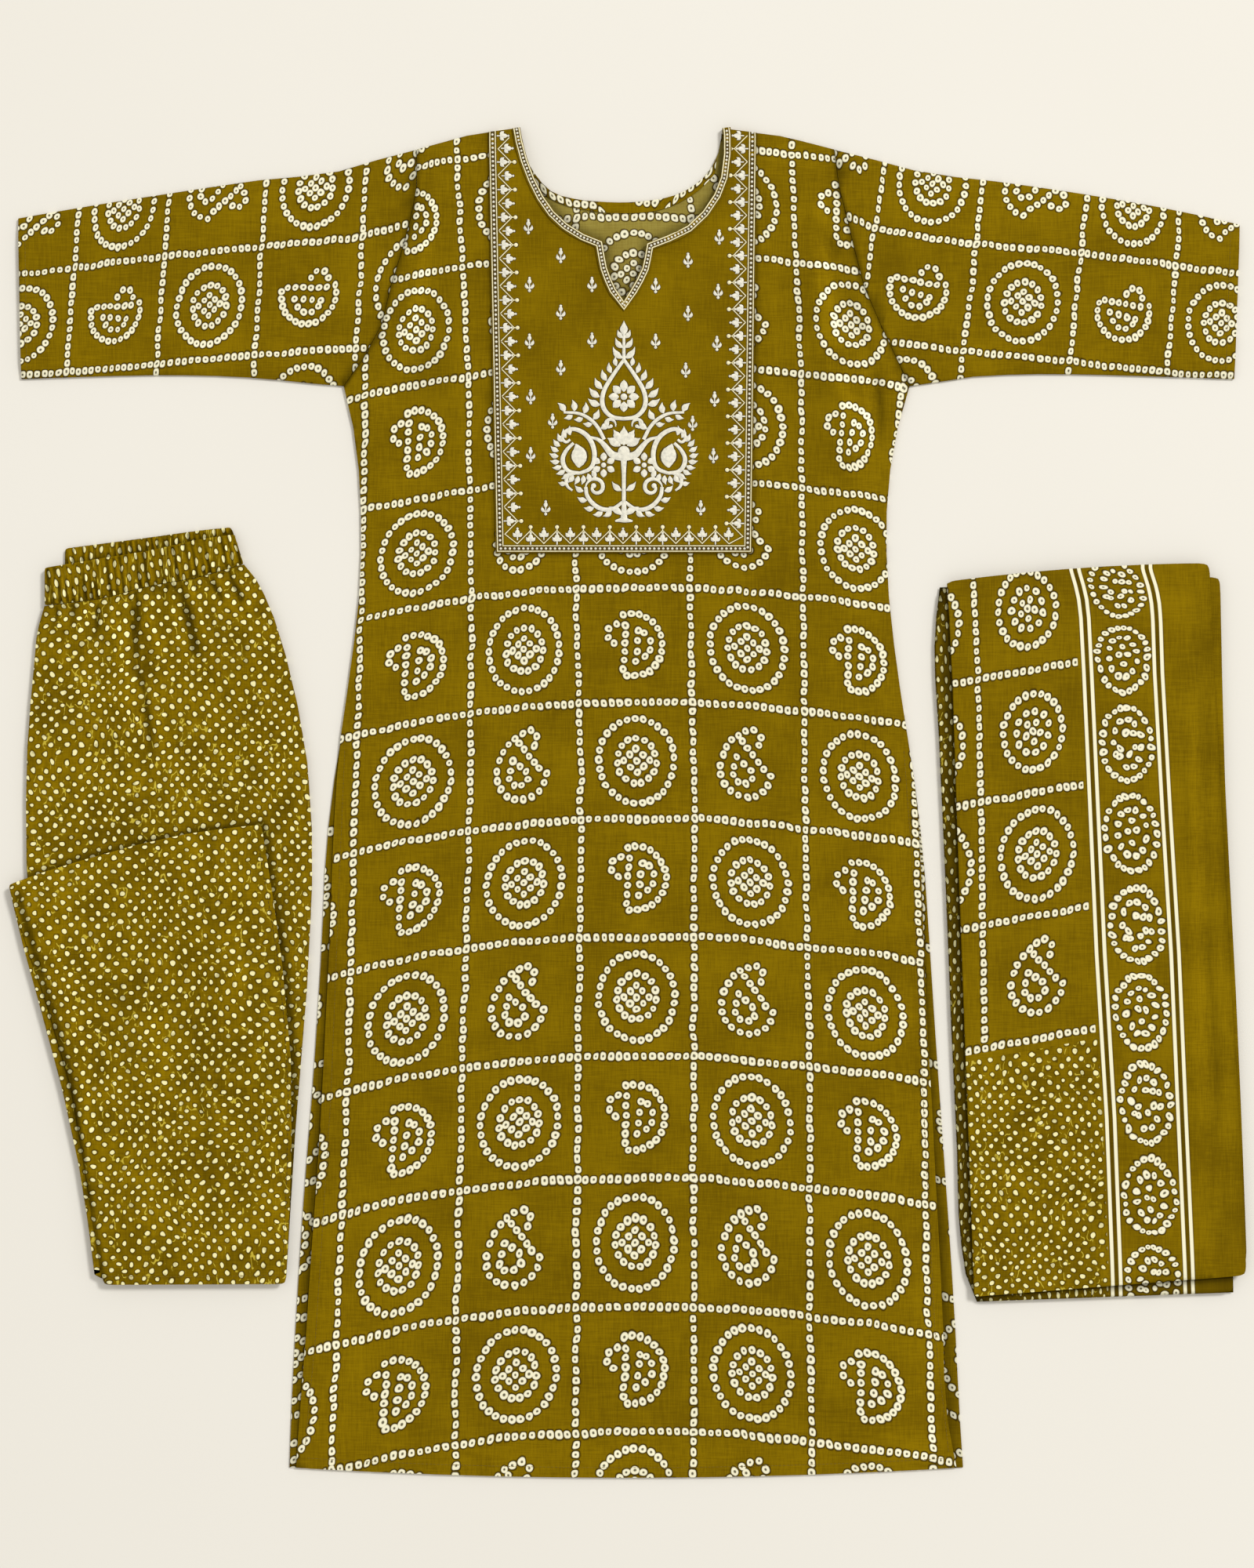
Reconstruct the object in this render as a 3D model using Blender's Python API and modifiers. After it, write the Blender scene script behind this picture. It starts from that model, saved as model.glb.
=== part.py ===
"""Salwar kameez suit laid flat: the kameez in the middle, the folded salwar beside its right
sleeve side (-X) and the folded dupatta beside its left side (+X).

Metres, +Z up, +Y from hem to neckline, undersides at z = 0. Left and right are the wearer's.
Plan points are (x, y); heights come from the named stack of walls and gaps below.
"""
import bmesh
import bpy
import numpy as np

# Cloth and its stack ---------------------------------------------------------------------
WALL = 0.0012  # one cloth wall
GAP = 0.0003  # between layers that lie on each other
SEAM_GAP = 0.0004  # between panels in plan, so that slanted seams stay GAP apart
TRIM_WALL = 0.0010  # neck trim and back neck facing
FOLD_RADIUS = WALL + GAP / 2  # outer radius where a wall folds back on itself
FOLD_ANGLES = np.radians((22.5, 67.5, 112.5, 157.5))
EDGE_RUN = 0.020  # width over which a lofted panel comes down to its seams
GROOVE = 0.0006  # depth of the grooves between the edges of folded layers

# Kameez ----------------------------------------------------------------------------------
BODY_LOFT = 0.0024  # air between front and back away from the seams
ARMHOLE_LOFT = 0.0012  # the same along the armhole seams
SLEEVE_LOFT = 0.0020
HEM_Y = -0.575  # hem at the side seams
HEM_DIP = 0.0086  # how far the middle of the hem hangs below its corners
HEM_BOW = 0.12  # height over which the rows above it straighten out
HEM_COLUMNS = 14  # stretches of the back's hem
YOKE_BOTTOM_Y = 0.2163
ARMPIT_Y = 0.3609
NECK_TRIM_WIDTH = 0.0070
CUTTER_REACH = 0.02  # how far the neck's cutter runs past the panels


def table(columns, *rows):
    """A dict of arrays, one for each named column."""
    return dict(zip(columns.split(), np.array(rows, float).T))


# x of each panel's edges by height; below the slits the back shows past the front
BODY = table(
    "height back_right front_right front_left back_left",
    (HEM_Y, -0.2930, -0.2872, 0.2845, 0.2903),
    (-0.527, -0.2913, -0.2838, 0.2757, 0.2872),
    (-0.459, -0.2879, -0.2784, 0.2730, 0.2838),
    (-0.391, -0.2838, -0.2740, 0.2699, 0.2797),
    (-0.323, -0.2791, -0.2689, 0.2662, 0.2750),
    (-0.255, -0.2736, -0.2648, 0.2628, 0.2702),
    (-0.187, -0.2689, -0.2614, 0.2587, 0.2655),
    (-0.119, -0.2648, -0.2580, 0.2560, 0.2611),
    (-0.051, -0.2618, -0.2556, 0.2533, 0.2563),
    (0.010, -0.2556, -0.2526, 0.2492, 0.2495),
    (0.051, -0.2492, -0.2492, 0.2431, 0.2431),
    (0.118, -0.2397, -0.2397, 0.2329, 0.2329),
    (0.186, -0.2319, -0.2319, 0.2254, 0.2254),
    (0.254, -0.2309, -0.2309, 0.2241, 0.2241),
    (0.322, -0.2370, -0.2370, 0.2329, 0.2329),
    (ARMPIT_Y, -0.2458, -0.2458, 0.2438, 0.2438),
)
# x of the armhole seams by height, from armpit to shoulder tip
ARMHOLE = table(
    "height right left",
    (ARMPIT_Y, -0.2458, 0.2438),
    (0.4043, -0.2166, 0.2231),
    (0.4485, -0.2044, 0.2037),
    (0.4987, -0.1894, 0.1915),
    (0.5327, -0.1827, 0.1827),
    (0.5656, -0.1827, 0.1786),
)
SHOULDER = table(
    "x y",
    (-0.1827, 0.5656),
    (-0.1365, 0.5782),
    (-0.0932, 0.5843),
    (0.0818, 0.5836),
    (0.1351, 0.5768),
    (0.1786, 0.5656),
)
YOKE_BORDER = table("height right left", (YOKE_BOTTOM_Y, -0.1141, 0.1073), (0.585, -0.1209, 0.1114))
# front neckline: the round neck's right side, its left side, and the two sides of the notch
NECK_RIGHT = table("x y", (-0.0932, 0.5843), (-0.0910, 0.5724), (-0.0866, 0.5560), (-0.0803, 0.5395),
                   (-0.0729, 0.5247), (-0.0638, 0.5116), (-0.0523, 0.5008), (-0.0219, 0.4855))
NECK_LEFT = table("x y", (0.0163, 0.4838), (0.0513, 0.4991), (0.0645, 0.5116), (0.0744, 0.5263),
                  (0.0801, 0.5411), (0.0826, 0.5609), (0.0826, 0.5775), (0.0818, 0.5836))
NOTCH_RIGHT = table("x y", (-0.0219, 0.4855), (-0.0177, 0.4627), (-0.0102, 0.4444), (-0.0034, 0.4339))
NOTCH_LEFT = table("x y", (-0.0034, 0.4339), (0.0024, 0.4439), (0.0122, 0.4627), (0.0163, 0.4838))
BACK_NECK = table("x y", (-0.0932, 0.5843), (-0.0910, 0.5666), (-0.0803, 0.5444), (-0.0638, 0.5279),
                  (-0.0475, 0.5232), (-0.0244, 0.5205), (0.0183, 0.5214), (0.0414, 0.5263),
                  (0.0595, 0.5362), (0.0711, 0.5477), (0.0777, 0.5609), (0.0818, 0.5836))
FACING_LOWER = table("x y", (-0.0828, 0.5381), (-0.0737, 0.5279), (-0.0606, 0.5198), (-0.0441, 0.5148),
                     (-0.0244, 0.5116), (0.0020, 0.5107), (0.0265, 0.5131), (0.0481, 0.5214),
                     (0.0645, 0.5329), (0.0754, 0.5449))
FACING_SPAN = (0.17, 0.90)  # the stretch of the back neckline that the facing follows
# sections of the sleeves from cuff to armhole: their ends on the upper and the lower edge
SLEEVE = {
    "right": table(
        "upper_x upper_y lower_x lower_y",
        (-0.5276, 0.5062, -0.5249, 0.3670),
        (-0.4692, 0.5164, -0.4692, 0.3690),
        (-0.3959, 0.5279, -0.3959, 0.3704),
        (-0.3225, 0.5388, -0.3388, 0.3690),
        (-0.2451, 0.5480, -0.2899, 0.3650),
        (-0.2044, 0.5605, -0.2640, 0.3622),
        (-0.1827, 0.5656, -0.2458, ARMPIT_Y),
    ),
    "left": table(
        "upper_x upper_y lower_x lower_y",
        (0.5296, 0.5008, 0.5249, 0.3670),
        (0.4882, 0.5103, 0.4638, 0.3690),
        (0.3904, 0.5279, 0.4067, 0.3707),
        (0.3252, 0.5374, 0.3415, 0.3711),
        (0.2519, 0.5469, 0.2926, 0.3684),
        (0.2030, 0.5598, 0.2601, 0.3629),
        (0.1786, 0.5656, 0.2438, ARMPIT_Y),
    ),
}
# soft folds of the body front and sleeves: from, to, half width, height
BODY_FOLDS = table(
    "x0 y0 x1 y1 width height",
    (-0.225, 0.350, -0.150, 0.290, 0.022, 0.0014),
    (0.222, 0.350, 0.150, 0.300, 0.022, 0.0016),
    (0.232, 0.395, 0.150, 0.385, 0.018, 0.0012),
    (-0.170, 0.060, -0.120, -0.180, 0.040, 0.0010),
    (0.150, 0.080, 0.140, -0.120, 0.040, 0.0010),
    (0.000, -0.120, 0.020, -0.380, 0.050, 0.0010),
    (-0.200, -0.300, -0.210, -0.480, 0.035, 0.0012),
    (0.190, -0.260, 0.210, -0.470, 0.035, 0.0012),
)
SLEEVE_FOLDS = table(
    "x0 y0 x1 y1 width height",
    (-0.250, 0.395, -0.320, 0.470, 0.016, 0.0012),
    (-0.262, 0.470, -0.360, 0.505, 0.018, 0.0009),
    (0.250, 0.395, 0.330, 0.465, 0.016, 0.0014),
    (0.245, 0.470, 0.350, 0.500, 0.018, 0.0010),
)
SIDE_SHARES = np.array((0, 0.03, 0.08, 0.17, 0.40, 0.70))  # columns from a side seam inwards
YOKE_COLUMNS = 8
ARMHOLE_SHARES = np.array((0, 0.12, 0.26, 0.42, 0.58, 0.72, 0.84, 0.93, 0.98, 1))
HEM_ROWS = np.array((0, 0.006, 0.016))
LOWER_ROWS = 20  # from the hem to the yoke's bottom edge
UNDERARM_ROWS = 4  # from there to the armpit
SLEEVE_STATIONS = 11

# Salwar ----------------------------------------------------------------------------------
GATHERS = 32  # pleats of the elastic waist across its laid width
GATHER_HEIGHT = 0.0010
GATHER_FADE = 0.016  # how far below the waist seam the gathers die away
CASING = 0.0020  # waistband wall with its elastic inside
BAND_Z = CASING + GATHER_HEIGHT + GAP  # underside of the upper band, on the lower one's pleats
UNDER_LEG_HEIGHT = 0.0040  # hidden folded layers under the visible leg
LEG_Z = UNDER_LEG_HEIGHT + GAP
LEG_LOFT = 0.0016
SEAM_BOW = 0.3  # share of the leg over which its rows straighten out below the waist seam
FLAP_RUN = 0.06  # how far above the folded lower leg the leg comes down to lie under it
CUFF_Z = LEG_Z + WALL + GAP  # underside of the folded lower leg
CUFF_LOFT = 0.0008
# the two elastic bands, from their outer to their inner end
WAISTBAND = table(
    "seam_x seam_y top_x top_y",
    (-0.5045, 0.1708, -0.5045, 0.2034),
    (-0.4502, 0.1782, -0.4610, 0.2108),
    (-0.4189, 0.1864, -0.4149, 0.2183),
    (-0.3673, 0.1966, -0.3673, 0.2285),
    (-0.3320, 0.2068, -0.3400, 0.2325),
)
UNDER_WAISTBAND = table(
    "seam_x seam_y top_x top_y",
    (-0.4875, 0.1735, -0.4875, 0.2203),
    (-0.4189, 0.1870, -0.4189, 0.2293),
    (-0.3673, 0.1972, -0.3673, 0.2363),
    (-0.3322, 0.2072, -0.3430, 0.2390),
)
# sections of the leg from the waist seam down to its hem
LEG = table(
    "outer_x outer_y inner_x inner_y",
    (-0.5045, 0.1702, -0.3318, 0.2062),
    (-0.5099, 0.1511, -0.3212, 0.1932),
    (-0.5140, 0.1103, -0.3096, 0.1694),
    (-0.5181, 0.0676, -0.2893, 0.1015),
    (-0.5201, 0.0166, -0.2770, 0.0336),
    (-0.5195, -0.0608, -0.2730, -0.0648),
    (-0.5133, -0.1293, -0.2770, -0.1531),
    (-0.4990, -0.1871, -0.2825, -0.2210),
    (-0.4841, -0.2482, -0.2880, -0.2900),
    (-0.4678, -0.3229, -0.2920, -0.3500),
    (-0.4556, -0.4078, -0.2954, -0.4100),
)
LEG_ROWS = np.array((0, 0.012, 0.028, 0.05, 0.085, 0.14, 0.21, 0.29, 0.38, 0.46, 0.60, 0.80, 1))
# creases below the waist: from, to, half width, height (a trough is negative)
LEG_FOLDS = table(
    "x0 y0 x1 y1 width height",
    (-0.4257, 0.180, -0.4150, 0.045, 0.008, -0.0014),
    (-0.4385, 0.170, -0.4330, 0.060, 0.010, 0.0013),
    (-0.4576, 0.172, -0.4580, 0.140, 0.006, -0.0010),
    (-0.4040, 0.175, -0.4000, 0.060, 0.010, 0.0010),
    (-0.3863, 0.190, -0.3780, 0.130, 0.006, -0.0011),
    (-0.3620, 0.193, -0.3370, 0.178, 0.006, -0.0012),
    (-0.3240, 0.150, -0.3060, 0.020, 0.016, 0.0012),
    (-0.4800, 0.100, -0.4870, -0.020, 0.020, 0.0010),
)
# the lower leg folded up over the leg: sections from its hem to the fold, and the fold line
CUFF = table(
    "top_x top_y under_x under_y inner_x inner_y",
    (-0.4529, -0.4159, -0.4604, -0.4111, -0.2954, -0.4152),
    (-0.4638, -0.3500, -0.4699, -0.3398, -0.2906, -0.3072),
    (-0.4787, -0.2550, -0.4828, -0.2719, -0.2899, -0.2482),
    (-0.4909, -0.2040, -0.5004, -0.2040, -0.2933, -0.1898),
    (-0.5100, -0.1380, -0.5201, -0.1361, -0.3000, -0.1270),
    (-0.5265, -0.0800, -0.5325, -0.0850, -0.3155, -0.0260),
)
CUFF_FOLD = table("x y", (-0.5351, -0.0700), (-0.5018, -0.0581), (-0.4610, -0.0458),
                  (-0.4128, -0.0323), (-0.3673, -0.0234), (-0.3164, -0.0180))
CUFF_SHARES = np.array((0, 0.01, 0.05, 0.15, 0.3, 0.5, 0.7, 0.85, 0.95, 1))
CUFF_COLUMNS = np.array((0, 0.02, 0.07, 0.15, 0.3, 0.5, 0.7, 0.85, 0.93, 0.98, 1))

# Dupatta ---------------------------------------------------------------------------------
UNDER_FOLDS_HEIGHT = 0.0055  # hidden layers under the two that show
TOP_FOLD_Z = UNDER_FOLDS_HEIGHT + GAP
DUPATTA_LOFT = 0.0009
# sections from the lower to the upper end: the fold, and the free edges of the two top layers
DUPATTA = table(
    "fold_x fold_y free_x free_y second_x second_y",
    (0.2988, -0.4261, 0.5344, -0.4077, 0.5351, -0.4000),
    (0.2940, -0.2889, 0.5289, -0.2889, 0.5310, -0.2889),
    (0.2872, -0.1056, 0.5181, -0.1056, 0.5226, -0.1056),
    (0.2838, -0.0085, 0.5132, -0.0085, 0.5171, -0.0085),
    (0.2811, 0.0642, 0.5090, 0.0642, 0.5148, 0.0642),
    (0.2791, 0.1368, 0.5050, 0.1368, 0.5130, 0.1368),
    (0.2750, 0.1915, 0.5025, 0.2074, 0.5120, 0.1952),
)
DUPATTA_BOW = 0.0036  # how far the upper edge bows up between its corners
DUPATTA_UNDER = table(
    "inner_x inner_y outer_x outer_y",
    (0.2700, 0.1868, 0.5060, 0.1900),
    (0.2662, 0.1524, 0.5082, 0.1300),
    (0.2696, 0.0506, 0.5112, 0.0506),
    (0.2723, -0.0085, 0.5130, -0.0085),
    (0.2764, -0.1022, 0.5170, -0.1022),
    (0.2804, -0.2040, 0.5205, -0.2040),
    (0.2845, -0.2889, 0.5226, -0.2889),
    (0.2899, -0.3908, 0.5238, -0.3908),
    (0.2945, -0.4150, 0.5241, -0.4100),
    (0.3022, -0.4315, 0.5242, -0.4234),
)
DUPATTA_ROWS = np.array((0, 0.006, 0.03, 0.12, 0.25, 0.4, 0.55, 0.7, 0.85, 0.96, 0.99, 1))
DUPATTA_COLUMNS = np.array((0, 0.015, 0.06, 0.16, 0.3, 0.45, 0.6, 0.75, 0.88, 0.97, 1))
DUPATTA_FOLDS = table(
    "x0 y0 x1 y1 width height",
    (0.4960, 0.170, 0.5150, -0.360, 0.014, 0.0008),
    (0.4700, 0.150, 0.4900, -0.380, 0.012, -0.0005),
)

OLIVE = (0.205, 0.127, 0.0018)
IVORY = (0.760, 0.720, 0.560)


# Plan curves and heights -----------------------------------------------------------------
def smooth(values, knots, at):
    """A curve with no corners through the values at their knots, read at the given places."""
    values, knots = np.array(values, float), np.array(knots, float)
    slopes = np.gradient(values, knots, axis=0)
    i = np.clip(np.searchsorted(knots, at, side="right") - 1, 0, len(knots) - 2)
    step = knots[i + 1] - knots[i]
    s = (at - knots[i]) / step
    if values.ndim == 2:
        s, step = s[:, None], step[:, None]
    ends = (1 + 2 * s) * (1 - s) ** 2 * values[i] + s**2 * (3 - 2 * s) * values[i + 1]
    return ends + step * (s * (1 - s) ** 2 * slopes[i] - s**2 * (1 - s) * slopes[i + 1])


def along(line, shares, edge=""):
    """Points of the smooth line through a table's plan points, at shares of its length."""
    points = np.column_stack((line[edge + "x"], line[edge + "y"]))
    lengths = np.linalg.norm(np.diff(points, axis=0), axis=1)
    knots = np.append(0, np.cumsum(lengths)) / lengths.sum()
    return smooth(points, knots, np.array(shares, float))


def eased(distance, run=EDGE_RUN):
    """0 at an edge, rising softly to 1 a run away from it."""
    share = np.clip(distance / run, 0, 1)
    return share * share * (3 - 2 * share)


def folds(rows, x, y):
    """Height of soft straight folds, full along their middle and dying away at their ends."""
    total = np.zeros(np.shape(x))
    for x0, y0, x1, y1, width, height in zip(*rows.values()):
        start, run = np.array((x0, y0)), np.array((x1 - x0, y1 - y0))
        offset = np.stack((x, y), -1) - start
        share = np.clip(offset @ run / (run @ run), 0, 1)
        away = np.linalg.norm(offset - share[..., None] * run, axis=-1)
        total += height * np.exp(-((away / width) ** 2)) * np.sin(np.pi * (0.15 + 0.7 * share))
    return total


def shoulder_y(x):
    return np.interp(x, SHOULDER["x"], SHOULDER["y"])


def neckline():
    """Front neckline from the right shoulder round to the left one."""
    arc, side = np.linspace(0, 1, 15), np.linspace(0, 1, 6)
    parts = (along(NECK_RIGHT, arc), along(NOTCH_RIGHT, side)[1:],
             along(NOTCH_LEFT, side)[1:], along(NECK_LEFT, arc)[1:])
    return np.vstack(parts)


def moved_out(line, distance, sharpest=0.8):
    """The line moved to its right-hand side, with its mitres held short at sharp corners."""
    heading = np.diff(line, axis=0)
    heading /= np.linalg.norm(heading, axis=1)[:, None]
    sides = np.column_stack((heading[:, 1], -heading[:, 0]))
    before, after = np.vstack((sides[:1], sides)), np.vstack((sides, sides[-1:]))
    middle = before + after
    middle /= np.linalg.norm(middle, axis=1)[:, None]
    reach = np.maximum((middle * before).sum(1), sharpest)
    return line + middle * (distance / reach)[:, None]


# Blender objects -------------------------------------------------------------------------
def collection(name):
    made = bpy.data.collections.new(name)
    bpy.context.scene.collection.children.link(made)
    return made


def cloth_material(name, colour, roughness):
    material = bpy.data.materials.new(name)
    material.use_nodes = True
    surface = material.node_tree.nodes["Principled BSDF"]
    surface.inputs["Base Color"].default_value = (*colour, 1)
    surface.inputs["Roughness"].default_value = roughness
    surface.inputs["Metallic"].default_value = 0
    return material


def add_object(name, data, group, colour=OLIVE, roughness=0.8):
    made = bpy.data.objects.new(name, data)
    data.materials.append(cloth_material(name, colour, roughness))
    group.objects.link(made)
    return made


def lattice(name, points, closed_rows=False, capped=False):
    """Mesh of rows x columns of 3-D points, facing up where rows run +Y and columns +X."""
    rows, columns = points.shape[:2]
    mesh = bmesh.new()
    verts = [[mesh.verts.new(p) for p in row] for row in points]
    for r in range(rows - 1):
        for c in range(columns if closed_rows else columns - 1):
            d = (c + 1) % columns
            mesh.faces.new((verts[r][c], verts[r][d], verts[r + 1][d], verts[r + 1][c]))
    if capped:
        mesh.faces.new(verts[0][::-1])
        mesh.faces.new(verts[-1])
    data = bpy.data.meshes.new(name)
    mesh.to_mesh(data)
    mesh.free()
    return data


def add_wall(name, points, group, thickness=WALL, side=1, tube=False, colour=OLIVE):
    """Cloth wall on one side of a lattice: 1 grows it outwards, -1 inwards."""
    made = add_object(name, lattice(name, points, closed_rows=tube), group, colour)
    wall = made.modifiers.new("wall", "SOLIDIFY")
    wall.thickness = thickness
    wall.offset = side
    wall.use_even_offset = True
    return made


def add_stack(name, outline, height, insets, group):
    """Folded layers as one solid: flat above and below, every layer's edge rounded out."""
    layer = height / len(insets)
    levels = [(0, insets[0] + GROOVE)]
    for k, inset in enumerate(insets):
        over = insets[min(k + 1, len(insets) - 1)]
        levels += [((k + 0.5) * layer, inset), ((k + 1) * layer, max(inset, over) + GROOVE)]
    closed = np.vstack((outline[-1:], outline, outline[:1]))
    rings = [np.column_stack((moved_out(closed, -inset)[1:-1], np.full(len(outline), z)))
             for z, inset in levels]
    return add_object(name, lattice(name, np.array(rings), closed_rows=True, capped=True), group)


def flat_outline(name, outline, thickness):
    """Curve data of a flat closed outline, filled, with half its thickness above and below."""
    data = bpy.data.curves.new(name, "CURVE")
    data.dimensions = "2D"
    data.fill_mode = "BOTH"
    data.extrude = thickness / 2
    line = data.splines.new("POLY")
    line.points.add(len(outline) - 1)
    for point, (x, y) in zip(line.points, outline):
        point.co = (x, y, 0, 1)
    line.use_cyclic_u = True
    return data


def neck_cutter(group):
    """Prism through the front neckline, open past the shoulders."""
    above = SHOULDER["y"].max() + CUTTER_REACH
    line = neckline()
    outline = np.vstack((line, (line[-1][0], above), (line[0][0], above)))
    curve = bpy.data.objects.new("neck", flat_outline("neck", outline, 2 * CUTTER_REACH))
    group.objects.link(curve)
    bpy.context.view_layer.update()
    placed = curve.evaluated_get(bpy.context.evaluated_depsgraph_get())
    data = bpy.data.meshes.new_from_object(placed)
    bpy.data.objects.remove(curve)
    mesh = bmesh.new()
    mesh.from_mesh(data)
    bmesh.ops.remove_doubles(mesh, verts=mesh.verts, dist=0.00001)
    bmesh.ops.recalc_face_normals(mesh, faces=mesh.faces)
    mesh.to_mesh(data)
    mesh.free()
    cutter = bpy.data.objects.new("neck_cutter", data)
    cutter.hide_render = True
    cutter.display_type = "WIRE"
    group.objects.link(cutter)
    return cutter


# Kameez ----------------------------------------------------------------------------------
def row_heights():
    lower = np.linspace(HEM_Y, YOKE_BOTTOM_Y, LOWER_ROWS + 1)
    under = np.linspace(YOKE_BOTTOM_Y, ARMPIT_Y, UNDERARM_ROWS + 1)
    return np.concatenate((HEM_Y + HEM_ROWS, lower[1:], under[1:]))


def armhole(side):
    """Armhole seam from the armpit to the shoulder tip."""
    heights = ARMPIT_Y + (ARMHOLE["height"][-1] - ARMPIT_Y) * ARMHOLE_SHARES
    return np.column_stack((smooth(ARMHOLE[side], ARMHOLE["height"], heights), heights))


def side_line(panel, side):
    """Edge of a body panel from the hem's corner to the shoulder tip."""
    heights = row_heights()
    lower = smooth(BODY[f"{panel}_{side}"], BODY["height"], heights)
    return np.vstack((np.column_stack((lower, heights)), armhole(side)[1:]))


def front_plan():
    """Rows x columns of plan points of the front before its neck is cut."""
    right, left = side_line("front", "right"), side_line("front", "left")
    across = right[:, 1]
    yoke_right, yoke_left = (
        np.interp(across, YOKE_BORDER["height"], YOKE_BORDER[side])[:, None]
        for side in ("right", "left")
    )
    x = np.hstack((
        right[:, :1] + (yoke_right - right[:, :1]) * SIDE_SHARES,
        yoke_right + (yoke_left - yoke_right) * np.linspace(0, 1, YOKE_COLUMNS + 1),
        left[:, :1] + (yoke_left - left[:, :1]) * SIDE_SHARES[::-1],
    ))
    share = (x - right[:, :1]) / (left[:, :1] - right[:, :1])
    y = right[:, 1:] + (left[:, 1:] - right[:, 1:]) * share
    below_armhole = np.zeros(len(x) - len(ARMHOLE_SHARES))
    rising = np.concatenate((below_armhole, ARMHOLE_SHARES))[:, None] ** 2
    y += rising * (shoulder_y(x[-1]) - y[-1])
    y -= HEM_DIP * (1 - (2 * share - 1) ** 2) * (1 - eased(across - HEM_Y, HEM_BOW))[:, None]
    return x, y


def armhole_height(share):
    """Loft along an armhole seam, 0 at the armpit and the shoulder tip."""
    return ARMHOLE_LOFT * eased(np.minimum(share, 1 - share) * (ARMHOLE["height"][-1] - ARMPIT_Y))


def front_points():
    """Underside of the front panel: on the back at its seams, lofted between them."""
    x, y = front_plan()
    inside = np.minimum(x - x[:, :1], x[:, -1:] - x)
    seam = np.zeros(len(x))
    seam[-len(ARMHOLE_SHARES):] = armhole_height(ARMHOLE_SHARES)
    body = BODY_LOFT + folds(BODY_FOLDS, x, y)
    body *= eased(shoulder_y(x) - y) * eased(y - y[0])
    loft = seam[:, None] + (body - seam[:, None]) * eased(inside)
    return np.dstack((x, y, WALL + GAP + loft))


def yoke_height(x, y):
    """Top of the yoke, which is lofted with the front under it."""
    return WALL + GAP + BODY_LOFT * eased(shoulder_y(x) - y) + 2 * WALL + GAP


def add_back(group):
    """Back panel, flat on the surface, with its neckline and its curved hem."""
    right, left = side_line("back", "right"), side_line("back", "left")
    share = np.linspace(0, 1, HEM_COLUMNS + 1)[1:-1, None]
    hem = right[0] + (left[0] - right[0]) * share - (0, HEM_DIP) * (1 - (2 * share - 1) ** 2)
    neck = along(BACK_NECK, np.linspace(0, 1, 25))
    shoulder = np.column_stack((SHOULDER["x"], SHOULDER["y"]))
    outline = np.vstack((hem, left, shoulder[-2], neck[::-1], shoulder[1], right[::-1]))
    back = add_object("kameez_back", flat_outline("kameez_back", outline, WALL), group)
    back.location.z = WALL / 2


def add_front(group, cutters):
    """Front panel, and the yoke that lies on it, both cut by one neckline."""
    cutter = neck_cutter(cutters)
    points = front_points()
    bottom = len(row_heights()) - 1 - UNDERARM_ROWS
    first, last = len(SIDE_SHARES), len(SIDE_SHARES) + YOKE_COLUMNS + 1
    yoke = points[bottom:, first:last] + (0, 0, WALL + GAP)
    for name, panel in (("kameez_front", points), ("kameez_yoke", yoke)):
        cut = add_wall(name, panel, group).modifiers.new("neckline", "BOOLEAN")
        cut.operation = "DIFFERENCE"
        cut.solver = "EXACT"
        cut.object = cutter


def add_neck_bands(group):
    """Trim round the front neckline, and the facing inside the back one."""
    inner = neckline()
    outer = moved_out(inner, NECK_TRIM_WIDTH)
    trim = [np.column_stack((line, yoke_height(*line.T) + GAP)) for line in (outer, inner)]
    add_wall("kameez_neck_trim", np.array(trim), group, TRIM_WALL, colour=IVORY)
    shares = np.linspace(0, 1, 19)
    start, end = FACING_SPAN
    edges = along(FACING_LOWER, shares), along(BACK_NECK, start + (end - start) * shares)
    facing = [np.column_stack((line, np.full(len(line), WALL + GAP))) for line in edges]
    add_wall("kameez_back_neck_facing", np.array(facing), group, TRIM_WALL)


def add_sleeve(side, group):
    """Sleeve as a flattened tube, folded along its top and seamed along its underarm."""
    outwards = -1 if side == "right" else 1
    stations = np.linspace(0, 1, SLEEVE_STATIONS)
    upper, lower = (along(SLEEVE[side], stations, edge) for edge in ("upper_", "lower_"))
    seam = armhole(side) + (outwards * SEAM_GAP, 0)
    upper[-1], lower[-1] = seam[-1], seam[0]
    width = np.linalg.norm(upper - lower, axis=1)

    bulge = seam - (seam[0] + (seam[-1] - seam[0]) * ARMHOLE_SHARES[:, None])

    def plan(i, shares):
        """Plan points of a section at shares of the way from its lower to its upper edge."""
        curve = np.column_stack([np.interp(shares, ARMHOLE_SHARES, b) for b in bulge.T])
        return lower[i] + (upper[i] - lower[i]) * shares[:, None] + stations[i] * curve

    wall = ARMHOLE_SHARES[1:-1]
    level = FOLD_RADIUS * (1 - np.cos(FOLD_ANGLES))
    rings = []
    for i, station in enumerate(stations):
        turn = FOLD_RADIUS * (1 - np.sin(FOLD_ANGLES)) / width[i]
        at_seam = station**6
        x, y = plan(i, wall).T
        loft = (SLEEVE_LOFT + folds(SLEEVE_FOLDS, x, y)) * eased(np.minimum(wall, 1 - wall) * width[i])
        loft += (armhole_height(wall) - loft) * at_seam
        ring = np.vstack((
            np.column_stack((x, y, np.zeros(len(wall)))),
            np.column_stack((plan(i, 1 - turn), level)),
            np.column_stack((x, y, 2 * FOLD_RADIUS + loft))[::-1],
            np.column_stack((plan(i, turn), level))[::-1],
        ))
        rings.append(ring if outwards < 0 else ring[::-1])
    add_wall(f"kameez_{side}_sleeve", np.array(rings), group, side=-1, tube=True)


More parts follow.
